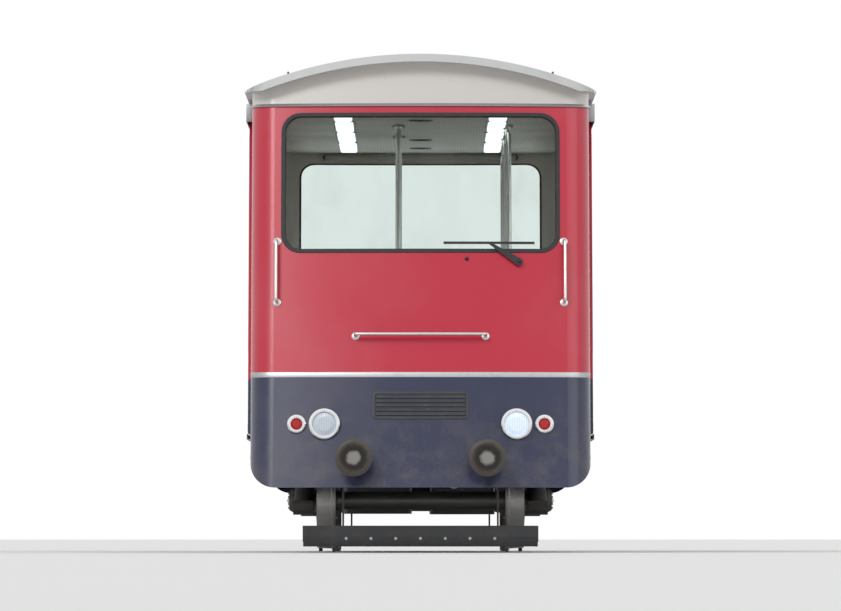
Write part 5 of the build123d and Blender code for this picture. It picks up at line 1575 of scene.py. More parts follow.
@dataclass(frozen=True)
class SlidingDoors(Workshop):
    """Rubbers, pulls, swages, kick strips and hanger bolts of the eight door leaves."""

    outer: float = 1.148
    bottom: float = 0.787742
    top: float = 2.889742
    glass: tuple[float, float] = (1.299742, 2.809742)
    border: float = 0.085
    split: float = 0.003
    far: float = 0.525
    recess: float = 0.006
    kick: float = 0.829
    pull: float = 1.80
    swages: tuple[float, ...] = (0.935, 1.010, 1.085)

    def build(self) -> None:
        """Dresses each leaf by its own place."""
        for side, (doorway, middle), way in product(Side, zip(("lower", "upper"), CAR.doorways), End):
            self.leaf(f"{side}_{doorway}_door_{way}", side, middle, way.value)

    def leaf(self, name: str, side: Side, middle: float, way: int) -> None:
        """Dresses one leaf.

        Args:
            name: The leaf's body.
            side: Its side.
            middle: Station of the doorway's middle.
            way: 1 for the leaf that slides uphill, -1 for the other.
        """
        x, out = side.value * self.outer, side.out
        near = middle + way * self.split
        low, high = sorted((near, middle + way * self.far))
        panes = (low + self.border, high - self.border)
        outline = rounded(CAR.panel(x, *panes, *self.glass), CAR.window_corner)
        nosing = [(-13, -0.6), (-10, 1.4), (-4, 2.4), (4, 2.4), (10, 1.4), (13, -0.6)]
        line = CAR.post(side.value * (self.outer - 0.020), near, self.bottom + 0.006, self.top - 0.006)
        rubbers = [self.ring("seal", seal(15.6, 2.5, 9), outline, out)]
        rubbers.append(self.sweep("nosing", nosing, line, out, Vector((0, -way, 0))))
        self.mount(f"{name}_rubbers", rubbers, RUBBER, name)

        face = side.value * (self.outer - self.recess + 0.0001)
        ribs = [CAR.run(face, panes[0] + 0.05, panes[1] - 0.05, height) for height in self.swages]
        swage = [(0, -11), (2.2, -8), (3.4, 0), (2.2, 8), (0, 11)]
        self.runs(f"{name}_swages", swage, ribs, out, PAINT, body=name)

        line = CAR.run(x, low + 0.012, high - 0.012, self.kick)
        steel = [self.sweep("kick", mirrored((0.1, -28), (1.2, -26)), line, out)]
        place = near + way * 0.042
        plate = CAR.panel(x, place - 0.021, place + 0.021, self.pull - 0.085, self.pull + 0.085)
        rim = [(0.1, -2), (3, 0), (3.6, 3), (3, 7), (0.1, 9)]
        steel.append(self.ring("rim", rim, rounded(plate, 16), out))
        bar = CAR.post(x + side.value * 0.006, place, self.pull - 0.070, self.pull + 0.070)
        steel.append(self.pipe("bar", bar, 4.5, sides=10))
        self.mount(f"{name}_pull_and_kick", steel, STAINLESS, name)

        stops = product((low + 0.03, (low + high) / 2, high - 0.03), (-0.018, 0.018))
        spots = [CAR.spot(x, along, self.kick + rise) + out * 0.001 for along, rise in stops]
        stops = (low + 0.04, low + 0.13, high - 0.13, high - 0.04)
        spots += [CAR.spot(x, along, self.top - 0.045) for along in stops]
        self.screws(f"{name}_screws", [(spot, out) for spot in spots], 4.8, 1.8, name)


@dataclass(frozen=True)
class RoofTrim(Workshop):
    """Seams, vent frames and lifting eyes of the roof."""

    radius: float = 2.964
    centre: float = 0.2857
    half: float = 1.139
    seams: tuple[float, ...] = (-2.75, -0.98, -0.28, 0.42, 0.98, 2.75, 3.45)
    vents: tuple[float, float] = (-1.5, 1.5)

    def out(self, x: float) -> Vector:
        """The way out of the roof's skin."""
        share = x / self.radius
        return Vector((share, 0, math.sqrt(1 - share**2)))

    def over(self, x: float, y: float, rise: float = 0.0) -> Vector:
        """A point on the roof's skin, or this far over it."""
        return Vector((0, y, self.centre)) + self.out(x) * (self.radius + rise)

    def build(self) -> None:
        """Makes the roof's trim."""
        xs = [self.half * (2 * step / 24 - 1) for step in range(25)]
        lines = [[self.over(x, y, 0.0001) for x in xs] for y in self.seams]
        section = mirrored((0, -20), (2.2, -18), (3.4, -6))
        self.runs("roof_seams", section, lines, [self.out(x) for x in xs], ROOF)
        places = product(self.seams, xs[1:-1], (-0.0115, 0.0115))
        rivets = [(self.over(x, y + way, 0.0028), self.out(x)) for y, x, way in places]
        self.screws("roof_rivets", rivets, 4.5, 2.0)
        self.vent_frames()
        self.vent_slats()
        self.eyes()
        dome = [(0, 58), (5, 58), (9, 50), (28, 34), (48, 18), (56, 6), (57, 0)]
        self.lathe("roof_aerial", dome, [(self.over(0, 3.0, -0.0005), UP)], BLACK_PLASTIC, 28)

    def vent_frames(self) -> None:
        """Flanges round the feet of the two vents, with their screws."""
        frames, spots = [], []
        for middle in self.vents:
            flat = [Vector((x, y, 0)) for x, y in oblong(-0.30, 0.30, middle - 0.40, middle + 0.40)]
            line = divided(rounded(flat, 60), 0.10)
            path, outs = [self.over(p.x, p.y, 0.0001) for p in line], [self.out(p.x) for p in line]
            frames.append(self.ring("flange", [(0, -18), (3.5, -17), (3.5, 10), (0, 20)], path, outs))
            for p in line[::2]:
                spots.append((self.over(p.x * 1.028, middle + (p.y - middle) * 1.02, 0.0036), self.out(p.x)))
        self.mount("vent_flanges", frames, ROOF)
        self.screws("vent_screws", spots, 6, 3)

    def vent_slats(self) -> None:
        """Slatted cheeks on the long sides of the two vents."""
        slats, hood = [], [(0, -4), (6, -5), (7.5, -3), (1, 5), (0, 5)]
        for middle, side, rung in product(self.vents, Side, range(3)):
            z = 3.262 + rung * 0.0165
            x = side.value * (0.2837 - (z - 3.2361) * math.tan(math.radians(25)) + 0.0012)
            line = [Vector((x, middle - 0.28, z)), Vector((x, middle + 0.28, z))]
            slats.append(self.sweep("slat", hood, line, Vector((side.value, 0, 0.35)).normalized(), UP))
        self.mount("vent_slats", slats, CHASSIS)

    def eyes(self) -> None:
        """Four lifting eyes on their pads."""
        eyes, side = [], Vector((0, 0.026, 0))
        for y, x in product((-2.4, 2.4), (-0.86, 0.86)):
            foot, out = self.over(x, y, 0.0002), self.out(x)
            eyes.append(self.turned("pad", [(0, 45), (6, 45), (10, 38), (10, 0)], foot, out, 20))
            low, high = foot + out * 0.004, foot + out * 0.062
            eyes.append(self.pipe("loop", [low - side, high - side, high + side, low + side], 7.5, 24, 10))
        self.mount("lifting_eyes", eyes, CHASSIS)


@dataclass(frozen=True)
class EndTrim(Workshop):
    """Beading, drip rail, lamp rims, handles, air intake and wiper fittings of the two ends."""

    lamp_height: float = 0.830
    lamps: tuple[tuple[float, float], ...] = ((0.620, 90.0), (0.800, 50.0))

    def build(self) -> None:
        """Dresses both ends."""
        for end in End:
            self.bands(end)
            self.rims(end)
            self.handles(end)
            self.grille(end)
            self.wiper_bolts(end)

    def bands(self, end: End) -> None:
        """Waist beading and drip rail round the end.

        Args:
            end: Which end.
        """
        points, outs = CAR.round_end(end, CAR.waist, CAR.joint + 0.0215)
        section = mirrored((0.1, -17), (1.8, -17), (2.6, -15))
        self.runs(f"waist_band_{end}", section, [points], outs, ALUMINIUM)
        points, outs = CAR.round_end(end, CAR.cantrail, CAR.joint + 0.08)
        drip = [(0.1, -9), (12, -12), (15, -8), (13, -4), (0.1, 10)]
        self.runs(f"drip_rail_{end}", drip, [points], outs, ALUMINIUM, UP)

    def rims(self, end: End) -> None:
        """Polished rims round the lamps, each held by three screws.

        Args:
            end: Which end.
        """
        rims, spots = [], []
        for side, (x, r) in product(Side, self.lamps):
            face = CAR.nose(end, x - r * MM, self.lamp_height + end.value * r * MM).y + end.value * 0.006
            centre = Vector((side.value * x, face, self.lamp_height))
            profile = [(-10, r + 0.4), (-10, r + 11), (-2, r + 10), (4, r + 4), (5.5, r - 4), (4, r - 11.5)]
            profile += [(0.2, r - 11.8), (0.2, r + 0.4), (-10, r + 0.4)]
            rims.append(self.turned("rim", profile, centre, end.out, 40))
            feet = circle(centre + end.out * 0.005, Side.RIGHT.out, r * MM - 0.004, 3, 0.75)
            spots += [(foot, end.out) for foot in feet]
        self.mount(f"lamp_rims_{end}", rims, CHROME)
        self.screws(f"lamp_screws_{end}", spots, 4, 2.2)

    def handles(self, end: End) -> None:
        """A long rail under the windscreen and an upright handle at each corner, on turned feet.

        Args:
            end: Which end.
        """
        half, level, low, high = 0.42, 1.40, 1.62, 2.02
        rail = [CAR.nose(end, half * (step / 4 - 1), level, 0.052) for step in range(9)]
        rail = [CAR.nose(end, -half, level), *rail, CAR.nose(end, half, level)]
        bars, feet = [self.pipe("rail", rail, 11, 20)], [(half, level), (-half, level)]
        for x in (-0.93, 0.93):
            ends = ((low, 0.0), (low, 0.045), (high, 0.045), (high, 0.0))
            bars.append(self.pipe("handle", [CAR.nose(end, x, height, out) for height, out in ends], 10, 22))
            feet += [(x, low), (x, high)]
        profile = [(0, 26), (3, 26), (6, 22), (8, 13), (14, 11.8), (14, 0)]
        for x, height in feet:
            foot = CAR.nose(end, x, height, 0.0001)
            bars.append(self.turned("foot", profile, foot, CAR.nose_out(end, x), 20))
        self.mount(f"grab_handles_{end}", bars, STAINLESS)

    def grille(self, end: End) -> None:
        """Air intake low between the headlamps: a frame with five slats.

        Args:
            end: Which end.
        """
        bottom, top, half = 0.870, 1.030, 0.30
        path, outs = CAR.bowed(end, half, (bottom, top), 20, 5, 0.12)
        parts = [self.ring("frame", [(0.1, -10), (4, -9), (6, -2), (5, 6), (0.1, 8)], path, outs)]
        xs = [half * (step / 3 - 1) * 0.965 for step in range(7)]
        hood = [(0.1, 10), (4, 4), (7.5, -8), (6, -10), (0.1, -6)]
        for height in (bottom + 0.024 + slat * 0.028 for slat in range(5)):
            run, ways = [CAR.nose(end, x, height) for x in xs], [CAR.nose_out(end, x) for x in xs]
            parts.append(self.sweep("slat", hood, run, ways, UP))
        self.mount(f"air_intake_{end}", parts, CHASSIS)

    def wiper_bolts(self, end: End) -> None:
        """Domed nut on the wiper's pivot, and the washer jet under the screen.

        Args:
            end: Which end.
        """
        nut, jet = [(0, 13), (7, 13), (12, 9), (15, 0)], [(0, 14), (5, 13), (13, 7), (15, 0)]
        height, parts = CAR.screen[0] - 0.075, []
        for profile, x, up, out, steps in ((nut, -0.640, 0.0, 0.0222, 12), (jet, -0.30, 0.02, 0.0001, 14)):
            x *= end.value
            foot = CAR.nose(end, x, height + up, out)
            parts.append(self.turned("nut", profile, foot, CAR.nose_out(end, x), steps))
        self.mount(f"wiper_nut_and_jet_{end}", parts, BLACK_PLASTIC)


@dataclass(frozen=True)
class RunningGear(Workshop):
    """Bolts, caps, plugs and pads round the wheels, brakes and buffers."""

    hub_face: float = 0.6901
    cover_face: float = 0.876
    case_lip: float = 0.110
    bar_face: float = 0.7572
    bar_foot: tuple[float, float] = (0.780, 0.5199)
    brake_pin: tuple[float, float, float] = (0.633, 0.0442, 0.235)
    bearers: tuple[float, ...] = (-3.0, -0.9, 0.0, 0.9, 2.7)

    def build(self) -> None:
        """Dresses the running gear."""
        self.axle_box_covers()
        self.buffer_bolts()
        self.plough_strips()
        self.brake_nuts()
        self.frame_bolts()
        self.wheel_plugs()
        self.jacking_pads()

    def hub(self, side: Side, end: End, x: float) -> Vector:
        """A point on a wheel's axis."""
        return Vector((side.value * x, end.value * WHEELS.spacing, WHEELS.height))

    def wheel_plugs(self) -> None:
        """Three threaded plugs in each wheel's hub, which turn with it."""
        for end in End:
            spots = []
            for side in Side:
                feet = circle(self.hub(side, end, self.hub_face), End.UPHILL.out, 0.088, 3, 0.25)
                spots += [(foot, side.out) for foot in feet]
            self.bolts(f"wheel_plugs_{end}", spots, 7, 6, f"wheelset_{end}")

    def jacking_pads(self) -> None:
        """Round ribbed pads under the sole bars, where a jack takes hold."""
        profile = [(0, 52), (10, 52), (13, 49), (13, 40), (9, 38), (9, 26), (13, 24)]
        (x, z), ends = self.bar_foot, (self.bearers[0], self.bearers[-1])
        spots = [((side.value * x, y, z), -UP) for side, y in product(Side, ends)]
        self.lathe("jacking_pads", profile, spots, YELLOW, 28)

    def axle_box_covers(self) -> None:
        """Six bolts and a grease cap on each axle box cover."""
        spots = [(self.hub(side, end, self.cover_face), side.out) for side, end in product(Side, End)]
        feet = [(foot, out) for centre, out in spots for foot in circle(centre, End.UPHILL.out, 0.048, 6)]
        cap = [(0, 26), (6, 26), (10, 20), (10, 8), (16, 6), (16, 0)]
        self.lathe("grease_caps", cap, spots, STAINLESS, 20)
        self.bolts("axle_box_bolts", feet, 8, 9)

    def buffer_bolts(self) -> None:
        """Eight bolts on the lip of each buffer case."""
        bolts = []
        for end, face in zip(End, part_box("buffers")):
            for side in Side:
                y = face.y - end.value * self.case_lip
                centre = Vector((side.value * BUFFERS.across, y, BUFFERS.height))
                bolts += [(foot, end.out) for foot in circle(centre, Side.RIGHT.out, 0.073, 8)]
        self.bolts("buffer_case_bolts", bolts, 6.5, 8)

    def plough_strips(self) -> None:
        """Rubber strip clamped along the foot of each guard plough."""
        section = [(6.2, -46), (12.5, -46), (13.5, -44), (13.5, 12), (12.5, 14), (6.2, 14)]
        for end, front in zip(End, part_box("guard_ploughs")):
            base = front.y - end.value * 0.006
            back = base - end.value * 0.126
            turns = ((-0.752, back), (-0.560, base), (0.560, base), (0.752, back))
            line = rounded([Vector((x, y, 0.086)) for x, y in turns], 90, 4, closed=False)
            self.runs(f"plough_rubber_{end}", section, [line], end.out, RUBBER, UP)
            feet = [Vector((x / 100, base + end.value * 0.0135, 0.092)) for x in range(-48, 49, 16)]
            self.bolts(f"plough_bolts_{end}", [(foot, end.out) for foot in feet], 7, 6)

    def brake_nuts(self) -> None:
        """Nuts on the pins of the track brakes' levers."""
        spots, (x, y, z) = [], self.brake_pin
        for side, shift, way in product(Side, (0.052, -0.052), End):
            spots.append((Vector((side.value * x + shift, way.value * y, z)), way.out))
        self.bolts("brake_pin_nuts", spots, 10, 8)

    def frame_bolts(self) -> None:
        """Bolts through the sole bars at each cross bearer."""
        spots = []
        for y, side, along, z in product(self.bearers, Side, (-0.036, 0.036), (0.560, 0.610, 0.660)):
            spots.append((Vector((side.value * self.bar_face, y + along, z)), side.out))
        self.bolts("sole_bar_bolts", spots, 8, 8)


@dataclass(frozen=True)
class UnderfloorPipes(Workshop):
    """Rigid pipes, conduits and clips under the floor, the fittings of the two boxes, and the horn."""

    reach: tuple[float, float] = (-3.60, 2.95)
    lines: tuple[tuple[float, float, float, int], ...] = (
        (-0.732, 0.560, 11, 12), (-0.734, 0.592, 8, 12), (0.727, 0.560, 16, 14),
    )
    clips: tuple[float, ...] = (-3.3, -2.6, -1.2, -0.55, 0.55, 1.2, 2.4, 2.85)
    holds: tuple[tuple[float, float, float, float], ...] = (
        (-0.7455, -0.720, 0.5705, 0.5845), (0.709, 0.7455, 0.5755, 0.5835),
    )

    def build(self) -> None:
        """Lays the pipes and dresses the boxes."""
        self.pipes()
        self.battery_fittings()
        self.hydraulic_fittings()
        self.horn()
        self.junction_box(Side.RIGHT, Vector((0.120, -0.640, 0.425)), 0.030)
        self.junction_box(Side.LEFT, Vector((-0.300, 0.450, 0.425)), -0.030)

    def horn(self) -> None:
        """Two-note air horn on its bracket, behind the guard plough at the downhill end."""
        trumpets = []
        for x, length, mouth in ((0.215, 240, 46), (0.300, 190, 38)):
            bell = [(0, 16), (20, 26), (35, 26), (45, 10)]
            for share, radius in (
                (0.6, 14), (0.85, 24), (0.97, mouth - 6), (1, mouth), (1, mouth - 3), (0.95, mouth - 14),
                (0.85, 20), (0.6, 10), (0.3, 6), (0.3, 0),
            ):
                bell.append((share * length, radius))
            trumpets.append(self.turned("bell", bell, (x, -3.44, 0.462), End.DOWNHILL.out))
        self.mount("horn_trumpets", trumpets, STAINLESS)
        bracket = self.block("bracket", (0.190, -3.475, 0.4875), (0.325, -3.440, 0.5202), 3)
        self.mount("horn_bracket", bracket, CHASSIS)

    def junction_box(self, side: Side, low: Vector, stop: float) -> None:
        """A cast box with its lid, screws and glands, and the conduit to its neighbour.

        Args:
            side: Which of the two boxes it is.
            low: Its lowest corner.
            stop: Where its conduit ends along the car.
        """
        high = low + Vector((0.180, 0.190, 0.0952))
        parts = [self.block("box", low + Vector((0.004, 0.004, 0.010)), high, 6)]
        parts.append(self.block("lid", low, (high.x, high.y, low.z + 0.012), 4))
        way = 1 if stop > low.y else -1
        face = high.y - 0.0045 if way > 0 else low.y + 0.0045
        middle, height = (low.x + high.x) / 2, low.z + 0.048
        nut = [(0, 19), (12, 19), (14, 16), (24, 15), (26, 13.5), (26, 0)]
        for x in (middle - 0.05, middle, middle + 0.05):
            parts.append(self.turned("gland", nut, (x, face, height), (0, way, 0), 6))
        self.mount(f"junction_box_{side}", parts, MACHINE)
        run = [Vector((middle, y, height)) for y in (face + way * 0.020, stop)]
        self.mount(f"junction_conduit_{side}", self.pipe("conduit", run, 9.5), CHASSIS)
        corners = oblong(low.x + 0.014, high.x - 0.014, low.y + 0.014, high.y - 0.014)
        self.screws(f"junction_screws_{side}", [(Vector((x, y, low.z)), -UP) for x, y in corners], 6, 3)

    def pipes(self) -> None:
        """Two brake pipes and a cable conduit along the sole bars, clear of the wheels, on clips."""
        runs, clips = [], []
        for x, z, radius, sides in self.lines:
            runs.append(self.pipe("run", [Vector((x, y, z)) for y in self.reach], radius, sides=sides))
        self.mount("brake_pipes", runs, MACHINE)
        for y, (low, high, bottom, top) in product(self.clips, self.holds):
            clips.append(self.block("clip", (low, y - 0.014, bottom), (high, y + 0.014, top), 3))
        self.mount("pipe_clips", clips, ZINC)

    def battery_fittings(self) -> None:
        """Catches of the battery box and the conduit up from it."""
        low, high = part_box("battery_box")
        x, top, parts = high.x, high.z, []
        for y in (low.y + (high.y - low.y) * share for share in (0.2, 0.5, 0.8)):
            plate = (x + 0.0001, y - 0.022, top - 0.085), (x + 0.007, y + 0.022, top - 0.020)
            hook = (x + 0.006, y - 0.007, top - 0.100), (x + 0.013, y + 0.007, top - 0.040)
            parts += [self.block("catch", *corners, 3) for corners in (plate, hook)]
        self.mount("battery_catches", parts, STAINLESS)
        turns = ((high.y - 0.008, 0.40), (high.y + 0.05, 0.40), (high.y + 0.05, 0.515))
        feed = self.pipe("conduit", [Vector((x - 0.06, y, z)) for y, z in turns], 12, 30)
        self.mount("battery_conduit", feed, MACHINE)

    def hydraulic_fittings(self) -> None:
        """Filler cap, drain plug and steel pressure pipe of the hydraulic unit."""
        low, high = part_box("hydraulic_unit")
        cap = [(0, 30), (10, 30), (16, 36), (30, 36), (34, 30), (34, 0)]
        plug = [(0, 16), (8, 16), (8, 11), (16, 10), (16, 0)]
        plugs = []
        for profile, height, steps in ((cap, 0.43, 12), (plug, 0.30, 6)):
            foot = (low.x - 0.0001, low.y + 0.12, height)
            plugs.append(self.turned("plug", profile, foot, Side.LEFT.out, steps))
        self.mount("tank_plugs", plugs, BLACK_PLASTIC)
        x = (low.x + high.x) / 2 + 0.12
        turns = ((0.43, 0.46), (0.34, 0.46), (0.34, 0.30), (0.10, 0.30))
        pipe = self.pipe("pipe", [Vector((x, high.y - back, z)) for back, z in turns], 7, 30)
        self.mount("pressure_pipe", pipe, STAINLESS)


@dataclass(frozen=True)
class Cabin(Workshop):
    """What shows through the glass: slats, pole flanges, lights, edge strips, desk gear and stools."""

    aisle: tuple[float, float] = (-0.150, 0.590)
    gap: float = 0.010
    benches: tuple[tuple[int, int, int], ...] = ((0, 1, 1), (2, 3, 1), (4, 4, -1))
    desk_foot: float = 3.540
    desk_slope: tuple[float, float] = (0.210, 0.095)
    light_rows: tuple[float, ...] = (-2.35, -0.78, 0.78, 2.35)
    light_half: tuple[float, float] = (0.06, 0.58)

    def build(self) -> None:
        """Furnishes the cabin."""
        self.slats()
        self.flanges()
        self.lights()
        self.edges()
        self.speakers()
        self.header_trims()
        for end in End:
            self.gauges(end)
            self.controls(end)
            self.stool(end)
            self.extinguisher(end)
            self.blind(end)

    def speakers(self) -> None:
        """Round loudspeaker grilles in the ceiling, with raised rings."""
        rings = [(0, 84), (4, 84), (7, 78)]
        for outer in range(72, 19, -13):
            rings += [(4, outer), (7.5, outer - 3), (7.5, outer - 6), (4, outer - 9)]
        spots = [(CAR.spot(0.0, along, CAR.ceiling), -UP) for along in (-2.75, -1.44, 1.44, 2.75)]
        self.lathe("ceiling_speakers", rings, spots, BLACK_PLASTIC, 32)

    def header_trims(self) -> None:
        """Covers over the door gear inside, above each doorway."""
        section = [(0.2, -27.5), (30, -27.5), (42, -16), (42, 26.2), (0.2, 26.2)]
        covers = []
        for side, middle in product(Side, CAR.doorways):
            x = side.value * (CAR.half_width - CAR.wall)
            line = CAR.run(x, middle - 0.60, middle + 0.60, CAR.ceiling - 0.0267)
            covers.append(self.sweep("cover", section, line, -side.out, UP))
        self.mount("door_header_covers", covers, ALUMINIUM)

    def extinguisher(self, end: End) -> None:
        """Fire extinguisher in its bracket beside the driver's desk.

        Args:
            end: Which end it hangs at.
        """
        way = end.value
        foot = CAR.on_terrace(end.terrace, way * self.desk_foot, way * 0.780, way * -0.014, 0.300)
        up = CAR.plumb()
        can = [(0, 45), (6, 54), (300, 54), (325, 48), (345, 30), (350, 16), (365, 16)]
        valve = [(364.5, 20), (385, 20), (390, 12), (402, 12), (404, 24), (412, 24), (414, 10)]
        band = [(0, 54.5), (0, 57), (24, 57), (24, 54.5), (0, 54.5)]
        self.lathe(f"extinguisher_can_{end}", can, [(foot, up)], SIGNAL_RED, 28)
        self.lathe(f"extinguisher_valve_{end}", valve, [(foot, up)], BLACK_PLASTIC, 20)
        spots = [(foot + up * rise, up) for rise in (0.06, 0.24)]
        self.lathe(f"extinguisher_bands_{end}", band, spots, STAINLESS, 28)

    def blind(self, end: End) -> None:
        """Roller of the sun blind over the windscreen, between its brackets.

        Args:
            end: Which end it is at.
        """
        along, height = 3.4525 * end.value / math.cos(CAR.slope), CAR.screen[1] + 0.042
        line = [CAR.spot(x, along, height) for x in (-0.70, 0.70)]
        self.mount(f"sun_blind_{end}", self.pipe("roller", line, 21, sides=20), BLIND)
        cap = [(0, 26), (5, 26), (6, 24), (10, 12), (18, 10)]
        spots = [(place, side.out) for place, side in zip(line, Side)]
        self.lathe(f"sun_blind_caps_{end}", cap, spots, BLACK_PLASTIC, 20)

    def slats(self) -> None:
        """Rounded wooden slats on the pan and back of each bench."""
        inner = CAR.half_width - CAR.wall - self.gap
        sides = ((self.aisle[0] - 0.012, 0.012 - inner), (self.aisle[1] + 0.012, inner - 0.012))
        section = mirrored((0, -16.5), (4, -16.5), (6.5, -12.5))
        for number, (terrace, back, way) in enumerate(self.benches):
            seat, rest = CAR.plumb(), CAR.level() * -way
            rows = [(0.135 + 0.040 * n, 0.420 + (0.025 + 0.040 * n) * 0.0625, seat, 0.0090) for n in range(7)]
            rows += [(0.098 - 0.0095 * n, 0.505 + 0.048 * n, rest, 0.0095) for n in range(6)]
            parts = []
            for (edge, wall), (along, up, out, lift) in product(sides, rows):
                middle = CAR.on_terrace(terrace, CAR.station(back), 0, -way * along, up) + out * lift
                line = [Vector((x, middle.y, middle.z)) for x in (edge, wall)]
                parts.append(self.sweep("slat", section, line, out))
            self.mount(f"bench_slats_{number + 1}", parts, WOOD)

    def flanges(self) -> None:
        """Turned flanges at the feet and heads of the grab poles."""
        profile = [(0.2, 46), (4, 46), (9, 30), (24, 20.5), (24, 17.8), (0.2, 17.8), (0.2, 46)]
        up, spots = CAR.plumb(), []
        for terrace in (1, 3):
            for along in (CAR.station(terrace) + 0.065, CAR.station(terrace + 1) - 0.130):
                spots += [(CAR.spot(x, along, CAR.tread(terrace, along)), up) for x in self.aisle]
        for along in (CAR.station(2) - 0.130, CAR.station(3) + 0.065):
            spots += [(CAR.spot(x, along, CAR.ceiling - 0.012), -up) for x in self.aisle]
        self.lathe("pole_flanges", profile, spots, STAINLESS, 20)

    def lights(self) -> None:
        """Two rows of ceiling lights in aluminium rims."""
        covers, rims, top, (half, long) = [], [], CAR.ceiling, self.light_half
        section = [(0.2, -14), (6, -12), (10, -2), (0.2, -0.4)]
        for side, middle in product(Side, self.light_rows):
            x, y = side.value * 0.52, middle + CAR.lean(top)
            low, high = (x - half, y - long, top - 0.026), (x + half, y + long, top - 0.0005)
            covers.append(self.block("cover", low, high, 12))
            flat = oblong(low[0] - MM, high[0] + MM, low[1] - MM, high[1] + MM)
            path = rounded([Vector((a, b, top)) for a, b in flat], 8, 3)
            rims.append(self.ring("rim", section, path, -UP))
        self.mount("ceiling_lights", covers, DIFFUSER)
        self.mount("ceiling_light_rims", rims, ALUMINIUM)

    def edges(self) -> None:
        """Yellow edge strips on the terraces' nosings and on the steps between them."""
        section = [(-28, 0.2), (-28, 3), (1, 3), (3, 1), (3, -26), (0.2, -26), (0.2, 0.2)]
        turned = [CAR.level() * -a + CAR.plumb() * b for a, b in section]
        inner, rise = CAR.half_width - CAR.wall - 0.004, CAR.pitch * math.sin(CAR.slope) / 2
        strips = []
        for terrace in range(1, 5):
            station = CAR.station(terrace)
            nose = CAR.on_terrace(terrace, station, 0, 0, 0)
            step = CAR.on_terrace(terrace - 1, station, 0, -0.280, rise)
            for corner, low, high in ((nose, -inner, inner), (step, -0.098, 0.538)):
                line = [Vector((x, corner.y, corner.z)) for x in (low, high)]
                strips.append(self.sweep("strip", [(p.y, p.z) for p in turned], line, End.UPHILL.out, UP))
        self.mount("terrace_edge_strips", strips, YELLOW)

    def over(self, end: End, across: float, down: float) -> Vector:
        """A point on a desk's sloping face.

        Args:
            end: Which end the desk is at.
            across: Distance across it.
            down: Distance down it from its upper edge.

        Returns:
            The point.
        """
        way, (run, fall) = -end.value, self.desk_slope
        slope = Vector((0, way * run, -fall)).normalized() * down
        along, up = way * 0.090 + slope.y, 0.820 + slope.z
        return CAR.on_terrace(end.terrace, end.value * self.desk_foot, way * (0.380 + across), along, up)

    def facing(self, end: End) -> Vector:
        """The way out of a desk's sloping face."""
        run, fall = self.desk_slope
        return (CAR.level() * -end.value * fall + CAR.plumb() * run).normalized()

    def gauges(self, end: End) -> None:
        """Three gauges with their bezels and needles on one driver's desk.

        Args:
            end: Which end the desk is at.
        """
        normal, bezels = self.facing(end), []
        turn = normal.to_track_quat("Z", "Y").to_matrix().to_4x4()
        for number, (across, r) in enumerate(((0.13, 34), (0.26, 45), (0.39, 34))):
            centre = self.over(end, across, 0.060) + normal * 0.0002
            rim = [(0, r + 7), (10, r + 6), (14, r + 1), (13, r - 3), (4, r - 4), (0, r - 4), (0, r + 7)]
            bezels.append(self.turned("bezel", rim, centre, normal, 28))
            face = [(0, r - 4.5), (4.5, r - 4.5), (5, r - 6), (5, 0)]
            dial = Dial(f"dial_{end}_{number + 1}", "desk_plastic", middle=tuple(centre), radius=r * MM)
            self.mount(f"gauge_{end}_{number + 1}", self.turned("face", face, centre, normal, 28), dial)
            needle = self.block("needle", (-0.0012, -0.006, 0), (0.0012, r * MM * 0.72, 0.0016), 0.4)
            reading = Matrix.Rotation(0.9 - 0.7 * number, 4, "Z")
            needle.data.transform(Matrix.Translation(centre + normal * 0.0052) @ turn @ reading)
            self.mount(f"needle_{end}_{number + 1}", needle, BLACK_PLASTIC)
        self.mount(f"gauge_bezels_{end}", bezels, CHROME)

    def controls(self, end: End) -> None:
        """Knobs, buttons and power lever on one driver's desk.

        Args:
            end: Which end the desk is at.
        """
        normal = self.facing(end)
        knob = [(0.2, 14), (3, 14), (4, 10), (14, 9), (16, 6), (16, 0)]
        stop = [(0.2, 13), (14, 13), (14, 26), (20, 27), (27, 20), (29, 0)]
        start = [(0.2, 16), (6, 16), (8, 12), (13, 11), (14, 0)]
        boot = [(0.2, 30), (4, 30), (10, 22), (18, 18), (22, 8), (22, 0)]
        grip = [(0, 6), (12, 13), (36, 15), (48, 11), (54, 0)]
        knobs = [(self.over(end, across, 0.165), normal) for across in (0.08, 0.14, 0.20, 0.26, 0.32)]
        self.lathe(f"desk_knobs_{end}", knob, knobs, BLACK_PLASTIC, 18)
        self.lathe(f"stop_button_{end}", stop, [(self.over(end, 0.42, 0.150), normal)], SIGNAL_RED)
        self.lathe(f"start_button_{end}", start, [(self.over(end, 0.468, 0.070), normal)], GREEN, 20)
        base = self.over(end, 0.05, 0.080)
        parts = [self.turned("boot", boot, base, normal, 20)]
        parts.append(self.turned("grip", grip, base + normal * 0.112, normal, 18))
        self.mount(f"lever_grip_{end}", parts, BLACK_PLASTIC)
        lever = self.pipe("lever", [base + normal * 0.018, base + normal * 0.118], 6)
        self.mount(f"power_lever_{end}", lever, STAINLESS)

    def stool(self, end: End) -> None:
        """Driver's stool: a turned wooden seat on a steel column with a round foot.

        Args:
            end: Which end it stands at.
        """
        station = -3.02 if end is End.DOWNHILL else 3.05
        foot, up = CAR.on_terrace(end.terrace, station, -end.value * 0.64, 0, 0), CAR.plumb()
        column = [(0.2, 150), (6, 150), (16, 60), (40, 28), (300, 26), (300, 20)]
        column += [(505, 20), (512, 80), (518, 80), (518, 0)]
        seat = [(518.5, 0), (518.5, 135), (526, 158), (540, 165), (552, 158), (556, 130), (550, 60), (549, 0)]
        self.lathe(f"stool_column_{end}", column, [(foot, up)], STAINLESS, 28)
        self.lathe(f"stool_seat_{end}", seat, [(foot, up)], WOOD, 32)


# Stage


